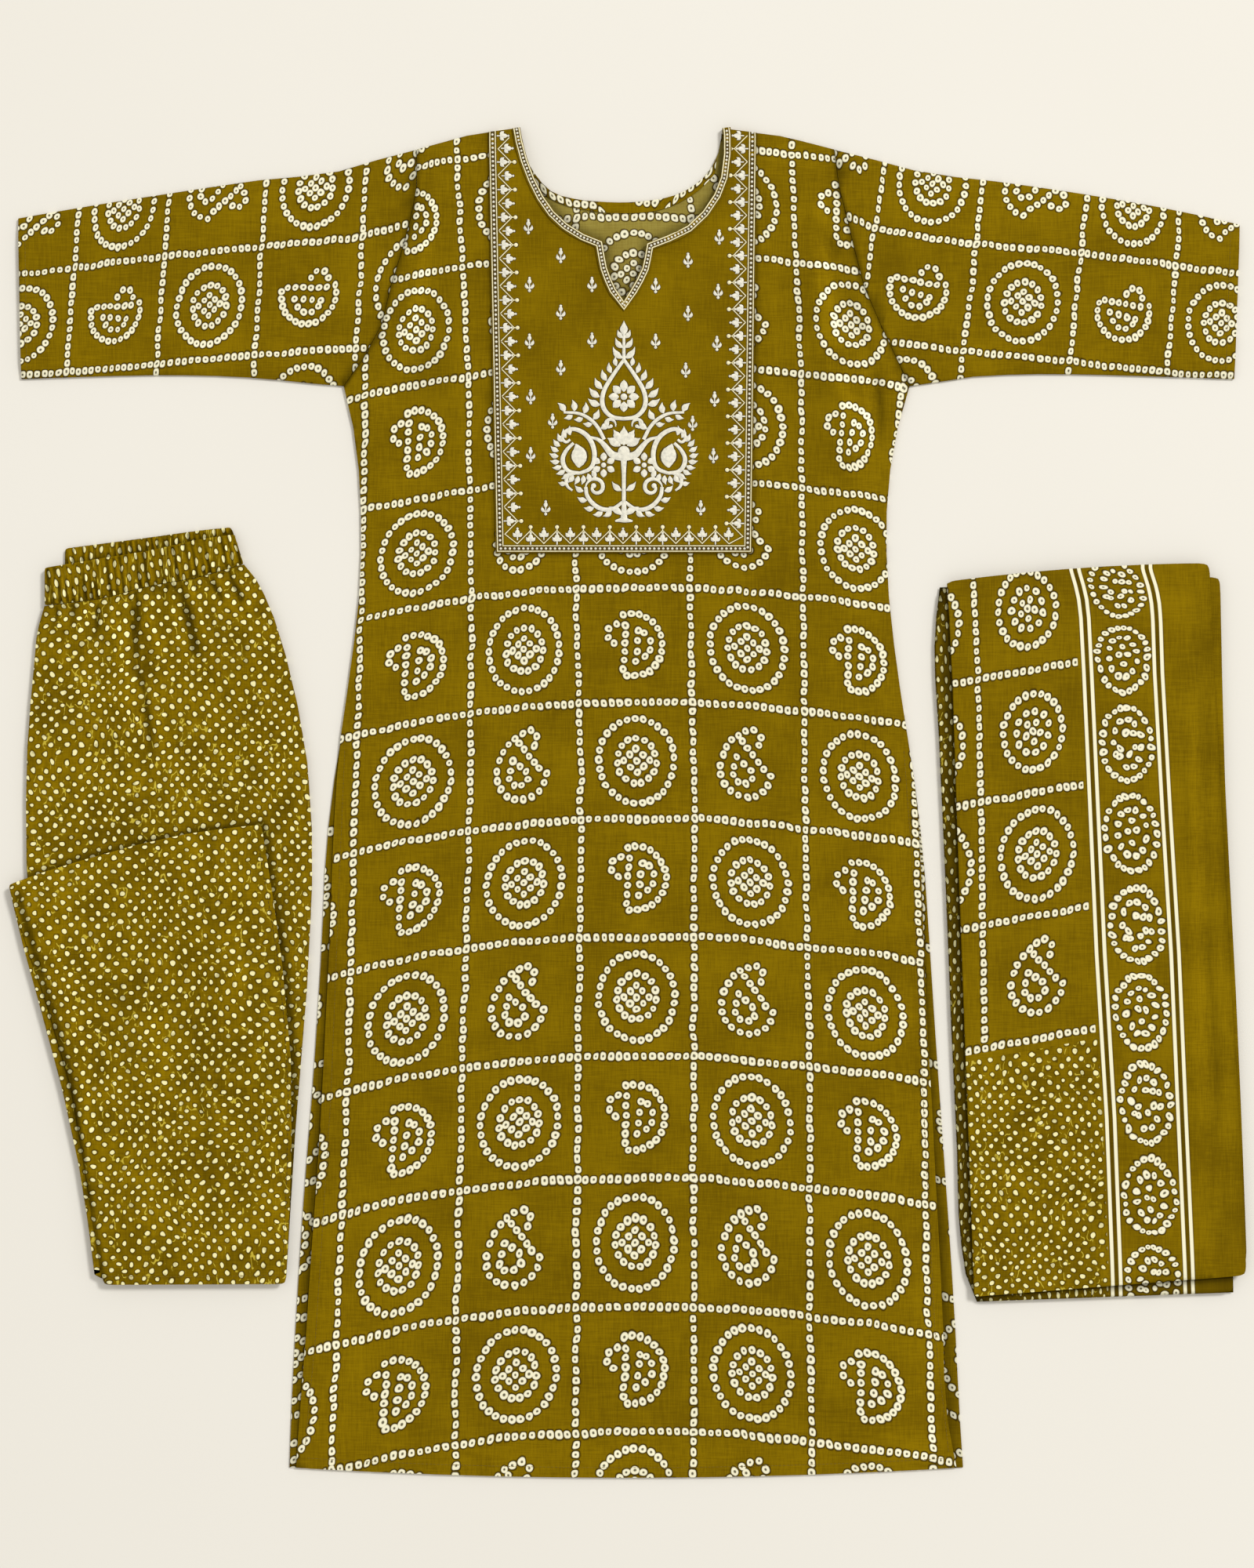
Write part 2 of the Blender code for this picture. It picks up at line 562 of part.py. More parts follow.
# Salwar ----------------------------------------------------------------------------------
def gathers(shares):
    """Wave of the gathered cloth, from 0 in a valley to 1 on a pleat."""
    return (1 + np.cos(2 * np.pi * GATHERS * shares)) / 2


def add_waistband(name, band, low, group):
    """Gathered elastic casing, resting on the valleys of its waves."""
    shares = np.linspace(0, 1, 4 * GATHERS + 1)
    seam, top = along(band, shares, "seam_"), along(band, shares, "top_")
    level = low + GATHER_HEIGHT * gathers(shares)
    rows = [np.column_stack((seam + (top - seam) * share, level)) for share in (0, 0.5, 1)]
    add_wall(name, np.array(rows), group, CASING)


def leg_points():
    """Underside of the leg, puckered at the waist seam and lofted below it."""
    shares = np.linspace(0, 1, 2 * GATHERS + 1)
    outer, inner = along(LEG, LEG_ROWS, "outer_"), along(LEG, LEG_ROWS, "inner_")
    plan = outer[:, None] + (inner - outer)[:, None] * shares[:, None]
    seam = along(WAISTBAND, shares, "seam_") - (0, SEAM_GAP)
    plan += (seam - plan[0]) * (1 - eased(LEG_ROWS, SEAM_BOW))[:, None, None]
    x, y = plan[..., 0], plan[..., 1]
    below = y[0] - y
    inside = np.minimum(*(np.linalg.norm(plan - edge[:, None], axis=2) for edge in (outer, inner)))
    above_cuff = y - np.interp(x, CUFF_FOLD["x"], CUFF_FOLD["y"])
    loft = (LEG_LOFT + folds(LEG_FOLDS, x, y)) * eased(inside) * eased(above_cuff, FLAP_RUN)
    puckers = GATHER_HEIGHT * gathers(shares) * np.exp(-below / GATHER_FADE)
    return np.dstack((x, y, LEG_Z + loft * eased(below) + puckers))


def cuff_wall(outer, inset):
    """Plan points of one wall of the folded lower leg, from its hem up to the fold."""
    left, right = along(CUFF, CUFF_SHARES, outer), along(CUFF, CUFF_SHARES, "inner_")
    right -= (inset, 0)
    plan = left[:, None] + (right - left)[:, None] * CUFF_COLUMNS[:, None]
    fold = cuff_fold() - (0, FOLD_RADIUS)
    near_fold = eased(CUFF_SHARES - CUFF_SHARES[5], 1 - CUFF_SHARES[5])
    return plan + (fold - plan[-1]) * near_fold[:, None, None]


def cuff_fold():
    x = CUFF_FOLD["x"][0] + (CUFF_FOLD["x"][-1] - CUFF_FOLD["x"][0]) * CUFF_COLUMNS
    return np.column_stack((x, np.interp(x, CUFF_FOLD["x"], CUFF_FOLD["y"])))


def cuff_points():
    """Lower leg folded up over the leg: upper wall, the fold, and lower wall."""
    upper, lower = cuff_wall("top_", 0), cuff_wall("under_", GROOVE)
    length, width = CUFF["inner_y"][-1] - CUFF["inner_y"][0], CUFF_FOLD["x"][-1] - CUFF_FOLD["x"][0]
    top = CUFF_Z + 2 * FOLD_RADIUS
    loft = CUFF_LOFT * np.outer(
        eased(np.minimum(CUFF_SHARES, 1 - CUFF_SHARES) * length),
        eased(np.minimum(CUFF_COLUMNS, 1 - CUFF_COLUMNS) * width),
    )
    rows = [np.column_stack((plan, top + lift)) for plan, lift in zip(upper, loft)]
    for angle in FOLD_ANGLES:
        line = cuff_fold() - (0, FOLD_RADIUS * (1 - np.sin(angle)))
        level = top - FOLD_RADIUS * (1 - np.cos(angle))
        rows.append(np.column_stack((line, np.full(len(line), level))))
    rows += [np.column_stack((plan, np.full(len(plan), CUFF_Z))) for plan in lower[::-1]]
    return np.array(rows)


def add_salwar(group):
    shares = np.linspace(0, 1, 17)
    seam = along(WAISTBAND, shares[::4], "seam_") - (0, 3 * SEAM_GAP)
    down, up = along(LEG, shares, "outer_")[1:], along(LEG, shares, "inner_")[:0:-1]
    outline = np.vstack((seam[::-1], down, up))
    add_stack("salwar_under_leg", outline, UNDER_LEG_HEIGHT, (0.0012, 0.0006, 0.0015), group)
    add_wall("salwar_leg", leg_points()[::-1], group)
    add_wall("salwar_folded_lower_leg", cuff_points(), group, side=-1)
    add_waistband("salwar_waistband", WAISTBAND, BAND_Z, group)
    add_waistband("salwar_under_waistband", UNDER_WAISTBAND, 0, group)


# Dupatta ---------------------------------------------------------------------------------
def dupatta_points():
    """Two top layers of the folded dupatta, joined by the fold along their inner edge."""
    centre = along(DUPATTA, DUPATTA_ROWS, "fold_") + (FOLD_RADIUS, 0)
    free, second = along(DUPATTA, DUPATTA_ROWS, "free_"), along(DUPATTA, DUPATTA_ROWS, "second_")
    width, length = free[0, 0] - centre[0, 0], free[-1, 1] - free[0, 1]
    bow = 4 * DUPATTA_BOW * DUPATTA_COLUMNS * (1 - DUPATTA_COLUMNS)
    inside = eased(np.minimum(DUPATTA_COLUMNS, 1 - DUPATTA_COLUMNS) * width)
    top = TOP_FOLD_Z + 2 * FOLD_RADIUS
    rows = []
    for i, share in enumerate(DUPATTA_ROWS):
        upper = centre[i] + (free[i] - centre[i]) * DUPATTA_COLUMNS[:, None]
        lower = centre[i] + (second[i] - centre[i]) * DUPATTA_COLUMNS[:, None]
        upper[:, 1] += bow * share**8
        lower[:, 1] += bow * share**8
        x, y = upper.T
        loft = (DUPATTA_LOFT + folds(DUPATTA_FOLDS, x, y)) * inside
        loft *= eased(min(share, 1 - share) * length)
        turn = [
            (centre[i][0] - FOLD_RADIUS * np.sin(angle), centre[i][1],
             top - FOLD_RADIUS * (1 - np.cos(angle)))
            for angle in FOLD_ANGLES
        ]
        under = np.column_stack((lower, np.full(len(lower), TOP_FOLD_Z)))
        rows.append(np.vstack((np.column_stack((x, y, top + loft))[::-1], turn, under)))
    return np.array(rows)[:, ::-1]


def add_dupatta(group):
    shares = np.linspace(0, 1, 25)
    down, up = along(DUPATTA_UNDER, shares, "inner_"), along(DUPATTA_UNDER, shares[::-1], "outer_")
    add_stack("dupatta_under_layers", np.vstack((down, up)), UNDER_FOLDS_HEIGHT,
              (0.0012, 0.0, 0.0016, 0.0004), group)
    add_wall("dupatta_top_layers", dupatta_points(), group, side=-1)


def main():
    for old in list(bpy.data.objects):
        bpy.data.objects.remove(old)
    suit, cutters = collection("salwar_kameez_suit"), collection("cutters")
    add_back(suit)
    add_front(suit, cutters)
    add_neck_bands(suit)
    add_sleeve("right", suit)
    add_sleeve("left", suit)
    add_salwar(suit)
    add_dupatta(suit)


main()
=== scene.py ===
import math

import bmesh
import bpy
import numpy as np
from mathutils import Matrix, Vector
from mathutils.bvhtree import BVHTree
from mathutils.kdtree import KDTree


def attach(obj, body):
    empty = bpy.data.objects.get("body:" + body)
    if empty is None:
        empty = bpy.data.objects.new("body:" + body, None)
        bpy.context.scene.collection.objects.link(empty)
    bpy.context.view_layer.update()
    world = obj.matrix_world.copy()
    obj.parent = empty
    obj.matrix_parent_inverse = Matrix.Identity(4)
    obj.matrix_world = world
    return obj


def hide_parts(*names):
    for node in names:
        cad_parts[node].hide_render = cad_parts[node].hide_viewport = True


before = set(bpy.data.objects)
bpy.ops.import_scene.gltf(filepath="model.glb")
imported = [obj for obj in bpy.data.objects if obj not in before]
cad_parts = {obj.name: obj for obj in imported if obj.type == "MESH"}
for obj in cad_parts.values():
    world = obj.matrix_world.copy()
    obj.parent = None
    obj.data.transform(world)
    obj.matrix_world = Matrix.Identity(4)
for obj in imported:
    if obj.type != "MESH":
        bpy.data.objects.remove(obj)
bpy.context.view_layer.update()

scene = bpy.context.scene

# ---- Finishes ----
OLIVE_DEEP = (0.142, 0.085, 0.0005, 1)
OLIVE_LIGHT = (0.238, 0.148, 0.0010, 1)
# painted shade: the dupatta's stacked folds in a darker copy of the olive
SHADED_STACK_DEEP = (0.105, 0.064, 0.0006, 1)
SHADED_STACK_LIGHT = (0.150, 0.093, 0.0010, 1)
INNER_DEEP = (0.235, 0.175, 0.030, 1)
INNER_LIGHT = (0.330, 0.265, 0.055, 1)
UNDYED = (0.89, 0.84, 0.60, 1)
DYED_POINT = (0.060, 0.046, 0.016, 1)
DYE_EDGE = (0.050, 0.028, 0.0006, 1)
UNDYED_DOT = (0.88, 0.81, 0.42, 1)
SMUDGE = (0.62, 0.49, 0.05, 1)
THREAD_LIGHT = (0.88, 0.84, 0.69, 1)
THREAD_GREY = (0.60, 0.58, 0.50, 1)
# dark flat bands: painted shade round each stitch, and the dark ground under bead rows and sunk
# seam stitches
DARK_GROUND_AND_SHADE = (0.058, 0.034, 0.0012, 1)
DARK_GROUND_AND_SHADE_LIGHT = (0.080, 0.050, 0.0020, 1)
HEM_THREAD = (0.115, 0.070, 0.0020, 1)
GOLD_LIGHT = (0.95, 0.87, 0.55, 1)
GOLD_DEEP = (0.76, 0.66, 0.36, 1)
COTTON_SHEEN = (0.60, 0.46, 0.02, 1)
WHITE = (1, 1, 1, 1)

MM = 1000.0  # in a metre
CELL = 100.0  # one square of the tie-dye grid
BEAD = 3.4  # radius of one tied dot
SQUARENESS = 2.8  # 2 makes the grid's beads oval, more makes them squarer
FAR = 99.0  # added to a distance to put its beads out of reach
YARN = 2 * math.pi / 0.62  # one thread over and one under
HALF = (0.5, 0.5, 0.5)
AS_IT_IS = (1.0, 1.0, 1.0)
DISTANCE = {"Distance": "Float"}
COLOUR = {"Color": "Color"}
MEASURES = ("DISTANCE", "LENGTH", "DOT_PRODUCT")  # vector maths that gives a number


# ---- Node trees ----
def add_node(tree, kind, inputs=(), output=0, **settings):
    """Adds a node, sets or joins its inputs, and gives one of its outputs as a wire."""
    node = tree.nodes.new(kind)
    for name, value in settings.items():
        setattr(node, name, value)
    for socket, value in dict(inputs).items():
        if isinstance(value, Wire):
            tree.links.new(value.socket, node.inputs[socket])
        else:
            node.inputs[socket].default_value = value
    return Wire(node.outputs[output])


class Wire:
    """A number or a vector in a node tree, so that node maths reads as arithmetic."""

    def __init__(self, socket):
        self.socket = socket
        self.tree = socket.id_data

    def node(self, kind, inputs=(), output=0, **settings):
        return add_node(self.tree, kind, inputs, output, **settings)

    def maths(self, operation, *others):
        """One step of maths on this and the others, as vectors if any of them is one."""
        values = dict(enumerate((self, *others)))
        if not any(is_vector(value) for value in values.values()):
            return self.node("ShaderNodeMath", values, operation=operation)
        if operation == "MULTIPLY" and not is_vector(others[0]):
            operation, values = "SCALE", {0: self, "Scale": others[0]}
        output = "Value" if operation in MEASURES else 0
        return self.node("ShaderNodeVectorMath", values, output, operation=operation)

    def parts(self):
        return [Wire(part) for part in
                self.node("ShaderNodeSeparateXYZ", {0: self}).socket.node.outputs]

    def xy(self, y):
        """A vector of this and y."""
        return self.node("ShaderNodeCombineXYZ", {0: self, 1: y})

    def turned(self, angle):
        return self.node("ShaderNodeVectorRotate", {"Vector": self, "Angle": angle},
                         rotation_type="Z_AXIS")

    def smooth(self, start, end, low=0.0, high=1.0):
        """Eases from low, where this is at start, to high, where it is at end."""
        inputs = {"Value": self, "From Min": start, "From Max": end, "To Min": low, "To Max": high}
        return self.node("ShaderNodeMapRange", inputs, interpolation_type="SMOOTHSTEP")

    def mix(self, first, second):
        """The first colour where this is 0, the second where it is 1."""
        return self.node("ShaderNodeMix", {0: self, 6: first, 7: second}, 2, data_type="RGBA")

    def choose(self, first, second):
        """The first number where this is 0, the second where it is 1."""
        return self.node("ShaderNodeMix", {0: self, 2: first, 3: second}, data_type="FLOAT")

    def noise(self, scale, detail=1.0, output="Fac"):
        """Soft patches; a scale of 1 / 9 makes them about 9 across."""
        inputs = {"Vector": self, "Scale": scale, "Detail": detail, "Roughness": 0.5}
        return self.node("ShaderNodeTexNoise", inputs, output)


def arithmetic(operation):
    return lambda wire, *others: wire.maths(operation, *others)


for word, operation in {"add": "ADD", "sub": "SUBTRACT", "mul": "MULTIPLY", "truediv": "DIVIDE",
                        "mod": "FLOORED_MODULO", "pow": "POWER", "abs": "ABSOLUTE",
                        "gt": "GREATER_THAN", "lt": "LESS_THAN"}.items():
    setattr(Wire, f"__{word}__", arithmetic(operation))


def is_vector(value):
    return value.socket.type != "VALUE" if isinstance(value, Wire) else isinstance(value, tuple)


def least(found, *others):
    for other in others:
        found = found.maths("MINIMUM", other)
    return found


def group(name, gives=DISTANCE, **takes):
    """Makes a shader node group of the function below. A call then places it, given a value for
    each of its inputs in turn, and gives its outputs."""

    def build(work):
        made = bpy.data.node_groups.new(name, "ShaderNodeTree")
        for way, sockets in (("INPUT", takes), ("OUTPUT", gives)):
            for socket, kind in sockets.items():
                made.interface.new_socket(socket, in_out=way, socket_type="NodeSocket" + kind)
        given = made.nodes.new("NodeGroupInput").outputs[:len(takes)]
        found = work(*[Wire(socket) for socket in given])
        found = found if isinstance(found, tuple) else (found,)
        for wire, socket in zip(found, made.nodes.new("NodeGroupOutput").inputs):
            made.links.new(wire.socket, socket)

        def place(*values):
            tree = next(value.tree for value in values if isinstance(value, Wire))
            first = add_node(tree, "ShaderNodeGroup", enumerate(values), node_tree=made)
            outputs = [Wire(socket) for socket in first.socket.node.outputs]
            return outputs if len(outputs) > 1 else first

        return place

    return build


@group("Bead arc", Point="Vector", Centre="Vector", Radii="Vector", Start="Float", Step="Float",
       Last="Float", Slack="Float")
def bead_arc(point, centre, radii, start, step, last, slack):
    """Distance to the nearest bead of a row bent round an oval arc."""
    place = point - centre
    x, y, _ = (place / radii).parts()
    turn = (y.maths("ARCTAN2", x) - start + slack) % (2 * math.pi) - slack
    count = (turn / step).maths("ROUND").maths("MAXIMUM", 0.0).maths("MINIMUM", last)
    angle = count * step + start
    return place.maths("DISTANCE", angle.maths("COSINE").xy(angle.maths("SINE")) * radii)


@group("Bead line", Point="Vector", First="Vector", Step="Vector", Last="Float")
def bead_line(point, first, step, last):
    """Distance to the nearest bead of a straight row."""
    place = point - first
    along = place.maths("DOT_PRODUCT", step) / step.maths("DOT_PRODUCT", step)
    count = along.maths("ROUND").maths("MAXIMUM", 0.0).maths("MINIMUM", last)
    return place.maths("DISTANCE", step * count)


def arc(point, centre, radii, start, end, beads):
    """A bead row round part of an oval, angles in degrees; end None closes the ring."""
    whole = end is None
    span = 2 * math.pi if whole else math.radians(end - start)
    step = span / (beads if whole else beads - 1)
    slack = abs(step) / 2 if whole else (2 * math.pi - abs(span)) / 2
    if span < 0:
        start, step = end, -step
    return bead_arc(point, (*centre, 0), (*radii, 1), math.radians(start), step, beads - 1.0, slack)


def line(point, first, last, beads):
    """A straight bead row between two points."""
    step = [(b - a) / (beads - 1) for a, b in zip(first, last)]
    return bead_line(point, (*first, 0), (*step, 0), beads - 1.0)


def seeds(point, across, tall, reach):
    """Beads packed like a honeycomb inside a circle."""
    x, y, _ = (point / (across, tall, 1)).parts()
    first = ((x + y) * 0.5).maths("ROUND")
    second = ((x - y) * 0.5).maths("ROUND")
    bead = (first + second).xy(first - second) * (across, tall, 0)
    return (bead.maths("LENGTH") > reach) * FAR + point.maths("DISTANCE", bead)


def motif(name, *rows):
    """A group that gives the distance to the nearest bead of a motif made of the rows given."""
    return group(name, Point="Vector")(
        lambda point: least(*[kind(point, *values) for kind, *values in rows]))


# Each arc: its middle, its two radii, its first and last angle, its beads. Each line: its ends
# and its beads. The seeds: how far apart across and up, and how far out they go.
medallion = motif(
    "Medallion",
    (arc, (0, 0), (33.2, 36.2), 4, None, 29),
    (arc, (0, 0), (17.2, 19.0), 90, None, 15),
    (seeds, 5.6, 4.9, 12.5),
)
small_medallion = motif(
    "Small medallion",
    (arc, (0, 0), (27.6, 31.0), 12, None, 24),
    (arc, (0, 0), (15.2, 17.0), 80, None, 11),
    (arc, (0, 0), (7.2, 8.0), 60, None, 5),
    (line, (0, 0.5), (0.5, 0), 2),
)
ringed_oval = motif(
    "Ringed oval",
    (arc, (0, 0), (21.6, 31.5), 10, None, 24),
    (arc, (0.5, 0), (12.2, 20.0), 70, None, 12),
    (arc, (0.5, 0), (3.4, 9.4), 90, None, 4),
)
curled_oval = motif(
    "Curled oval",
    (arc, (0, 0), (21.2, 31.5), -4, None, 24),
    (arc, (0.5, 0.5), (11.8, 20.0), 205, -100, 11),
    (arc, (2.5, 2.0), (4.4, 9.4), 120, -100, 4),
    (arc, (-6.5, -6.0), (1.0, 3.4), 90, -90, 2),
)
upright_paisley = motif(
    "Upright paisley",
    (line, (-7.5, 17.0), (-9.5, -21.0), 6),
    (arc, (-1.5, 0), (26.5, 27.0), 106, -101, 15),
    (arc, (-15.0, 9.5), (8.6, 8.6), 92, 254, 4),
    (line, (4.5, 12.5), (1.0, -14.0), 4),
    (arc, (2.0, 0.5), (12.6, 12.6), 52, -57, 4),
)
hooked_paisley = motif(
    "Hooked paisley",
    (line, (-5.5, 19.5), (12.5, -3.0), 5),
    (arc, (-3.5, -6.0), (22.8, 22.8), -6, -187, 10),
    (arc, (14.0, -9.0), (40.5, 40.5), 158, 125, 4),
    (arc, (3.0, 22.0), (8.0, 8.0), 134, -44, 4),
    (arc, (-5.5, -8.0), (9.4, 9.4), -26, -212, 5),
    (line, (-11.0, 5.0), (1.0, -5.0), 3),
)


def wander(point, size, reach):
    """The point moved about softly by up to half of reach."""
    return point + (point.noise(1 / size, 0.0, "Color") - HALF) * reach


def in_square(point):
    """The point from the middle of its own print square."""
    return ((point * (1 / CELL)).maths("FRACTION") - (0.5, 0.5, 0)) * (CELL, CELL, 0)


def bead_rows(point, beads, width, length, upright):
    """Distance to the squarish beads along the grid's lines, squeezed to their width and length."""
    x, y, _ = point.parts()
    across, along = (x, y) if upright else (y, x)
    shares = []
    for place, apart, size in ((across, CELL, width), (along, CELL / beads, length)):
        place = abs(place.maths("WRAP", apart / 2, -apart / 2)) ** SQUARENESS
        shares.append(place * (2 * BEAD / size) ** SQUARENESS)
    return (shares[0] + shares[1]) ** (1 / SQUARENESS)


@group("Tie-dye grid", Cell="Vector", Turn="Float")
def tie_dye(cell, turn):
    """The bead grid with its medallions and paisleys. Cell counts squares; Turn turns motifs."""
    point = wander(cell * CELL, 16.0, 2.6)
    upright = bead_rows(wander(point, 30.0, 3.6), 12, 5.9, 6.9, True)
    level = bead_rows(wander(point, 24.0, 3.4), 14, 6.8, 5.8, False)
    column, row, _ = cell.maths("FLOOR").parts()
    local = in_square(point)
    turned = local.turned(turn)
    paisley = (row % 2.0).choose(hooked_paisley(turned), upright_paisley(turned))
    return least(upright, level, ((column + row) % 2.0).choose(medallion(local), paisley))


@group("Resist dye", COLOUR, Cloth="Color", Distance="Float", Point="Vector")
def resist_dye(cloth, distance, point):
    """Cloth colour with resist-dyed beads: undyed ring, dark point and darker edge."""
    distance = distance * point.noise(1 / 9.0).smooth(0.3, 0.7, 1.16, 0.88)
    colour = distance.smooth(BEAD + 1.6, BEAD + 0.3).mix(cloth, DYE_EDGE)
    colour = distance.smooth(BEAD + 0.2, BEAD - 0.75).mix(colour, UNDYED)
    return (distance.smooth(1.5, 0.6) * 0.9).mix(colour, DYED_POINT)


@group("Woven cotton", {"Color": "Color", "Height": "Float"}, Point="Vector", Deep="Color",
       Light="Color")
def woven_cotton(point, deep, light):
    """Plain woven cotton: its shade, patchy from the dye bath, and the height of its weave."""
    warp = (point * (1.0, 0.06, 1.0)).noise(1 / 1.1, 2.0)
    weft = (point * (0.06, 1.0, 1.0)).noise(1 / 1.1, 2.0)
    threads = warp + weft
    shade = threads * 0.30 + point.noise(1 / 55.0, 3.0) * 0.40
    x, y, _ = point.parts()
    weave = (x * YARN).maths("SINE") * (y * YARN).maths("SINE")
    return shade.smooth(0.32, 0.68).mix(deep, light), weave * 0.25 + threads


@group("Small dots", Point="Vector", Pitch="Float", Radius="Float")
def small_dots(point, pitch, radius):
    """Distance to the staggered small dots, so widened that their edge lies where a bead's does."""
    point = wander(wander(point, 60.0, 14.0), 5.0, 1.8)
    point = (point / pitch * (1, 1, 0)).turned(math.radians(41))
    inputs = {"Vector": point, "Scale": 1.0, "Randomness": 0.16}
    nearest = point.node("ShaderNodeTexVoronoi", inputs, "Distance", voronoi_dimensions="2D")
    return nearest * pitch - radius


@group("Dotted dye", COLOUR, Cloth="Color", Distance="Float", Point="Vector", Amount="Float")
def dotted_dye(cloth, distance, point, amount):
    """Cloth colour with small undyed dots, some of them dim, broken yellowish smudges, and painted
    crumple shade and highlight in soft patches.
    """
    distance = point.noise(1 / 5.0) * 2.2 + distance - 0.15
    edge = distance.smooth(2.3, 1.0, 0.0, 0.85) * amount
    dot = distance.smooth(1.1, 0.5) * amount * point.noise(1 / 9.0).smooth(0.28, 0.46, 0.62, 1.0)
    strand = abs((point * (1.0, 0.55, 1.0)).noise(1 / 7.0) - 0.5).smooth(0.034, 0.010)
    smudge = strand * point.noise(1 / 10.0, 2.0).smooth(0.55, 0.61) * amount
    # painted shade and highlight of small crumples: soft darker and lighter patches
    crumple_shade = (point * (1.0, 0.7, 1.0)).noise(1 / 14.0, 3.0).smooth(0.32, 0.68, 0.80, 1.18)
    colour = (smudge * 0.8).mix(cloth * amount.choose(1.0, crumple_shade), SMUDGE)
    return dot.mix(edge.mix(colour, DYE_EDGE), UNDYED_DOT)


@group("Fold shade", COLOUR, Color="Color", Fold="Float")
def fold_shade(colour, fold):
    """Cloth colour with painted shade, darker in troughs and close beside an upper layer's edge,
    and painted highlight, lighter on ridges.
    """
    return colour * (fold.smooth(-1.1, 0.0, 0.42, 1.0) * fold.smooth(0.0, 0.8, 1.0, 1.26))


# ---- Materials ----
def new_material(name, roughness, sheen=0.0, specular=0.015, tint=COTTON_SHEEN):
    """A material; gives it with its shader's inputs and the place on the piece in m."""
    material = bpy.data.materials.new(name)
    material.use_nodes = True
    shader = material.node_tree.nodes["Principled BSDF"].inputs
    for socket, value in {"Roughness": roughness, "Sheen Weight": sheen, "Sheen Roughness": 0.45,
                          "Sheen Tint": tint, "Specular IOR Level": specular}.items():
        shader[socket].default_value = value
    return material, shader, add_node(material.node_tree, "ShaderNodeTexCoord", output="Object")


def finish(shader, colour, height, strength, deep):
    """Joins a colour and a raised surface to the shader."""
    bump = colour.node("ShaderNodeBump", {"Strength": strength, "Distance": deep, "Height": height})
    for wire, socket in ((colour, "Base Color"), (bump, "Normal")):
        wire.tree.links.new(wire.socket, shader[socket])


def cotton(name, dye, deep=OLIVE_DEEP, light=OLIVE_LIGHT, roughness=0.72):
    """Cotton coloured by dye, with shade and highlight painted from its folds, raised by its weave.
    """
    material, shader, place = new_material(name, roughness, sheen=0.03)
    point = place * MM
    ground, height = woven_cotton(point, deep, light)
    fold = point.node("ShaderNodeAttribute", output="Fac", attribute_name="fold")
    finish(shader, fold_shade(dye(point, ground), fold), height, strength=0.25, deep=0.0004)
    return material


def thread(name, light, dark, roughness=0.55):
    """Satin stitch in lustrous thread: fine parallel strands, greyer between them."""
    material, shader, place = new_material(name, roughness, sheen=0.08, specular=0.3, tint=WHITE)
    point = place * MM
    inputs = {"Vector": point.turned(0.6), "Scale": 0.45, "Distortion": 2.5, "Detail": 1.0,
              "Detail Scale": 1.4}
    strands = point.node("ShaderNodeTexWave", inputs, "Fac")
    shade = (strands * 0.35 + point.noise(1 / 2.6, 2.0)).smooth(0.40, 0.78)
    finish(shader, shade.mix(dark, light), strands, strength=0.35, deep=0.0003)
    return material


def map_of(point, name="print"):
    """The place on a map of the piece that point is on."""
    return point.node("ShaderNodeUVMap", uv_map=name)


def plain(point, ground):
    """Dyed in the piece, with no pattern."""
    return ground


def grid_dyed(turn=0.0):
    """The tie-dye grid, laid out by the piece's own print map."""
    return lambda point, ground: resist_dye(ground, tie_dye(map_of(point), turn), point)


DOT_PITCH = 8.3  # between small dots, along their slanting rows
DOT_RADIUS = 1.95


def dotted(squeeze=AS_IT_IS, turn=0.0, pitch=DOT_PITCH, streaks=AS_IT_IS):
    """Staggered small dots; squeeze packs them closer across a gathered band, and streaks draws the
    smudges and the painted crumple shade out along its gathers.
    """

    def dye(point, ground):
        dots = small_dots(point.turned(turn) * squeeze, pitch, DOT_RADIUS)
        return dotted_dye(ground, dots, point * streaks, 1.0)

    return dye


BORDER_PITCH = 76.0  # from one border medallion to the next
BORDER_WIDTH = 61.0  # from one pair of stripes to the other
STRIPE = 3.3  # one stripe of a pair
STRIPE_PITCH = 6.7  # from one stripe of a pair to the other
DOTTED_FROM = -3.0  # print row below which the shawl is dotted
LEVEL_BEADS = 14  # beads in one square of a level row


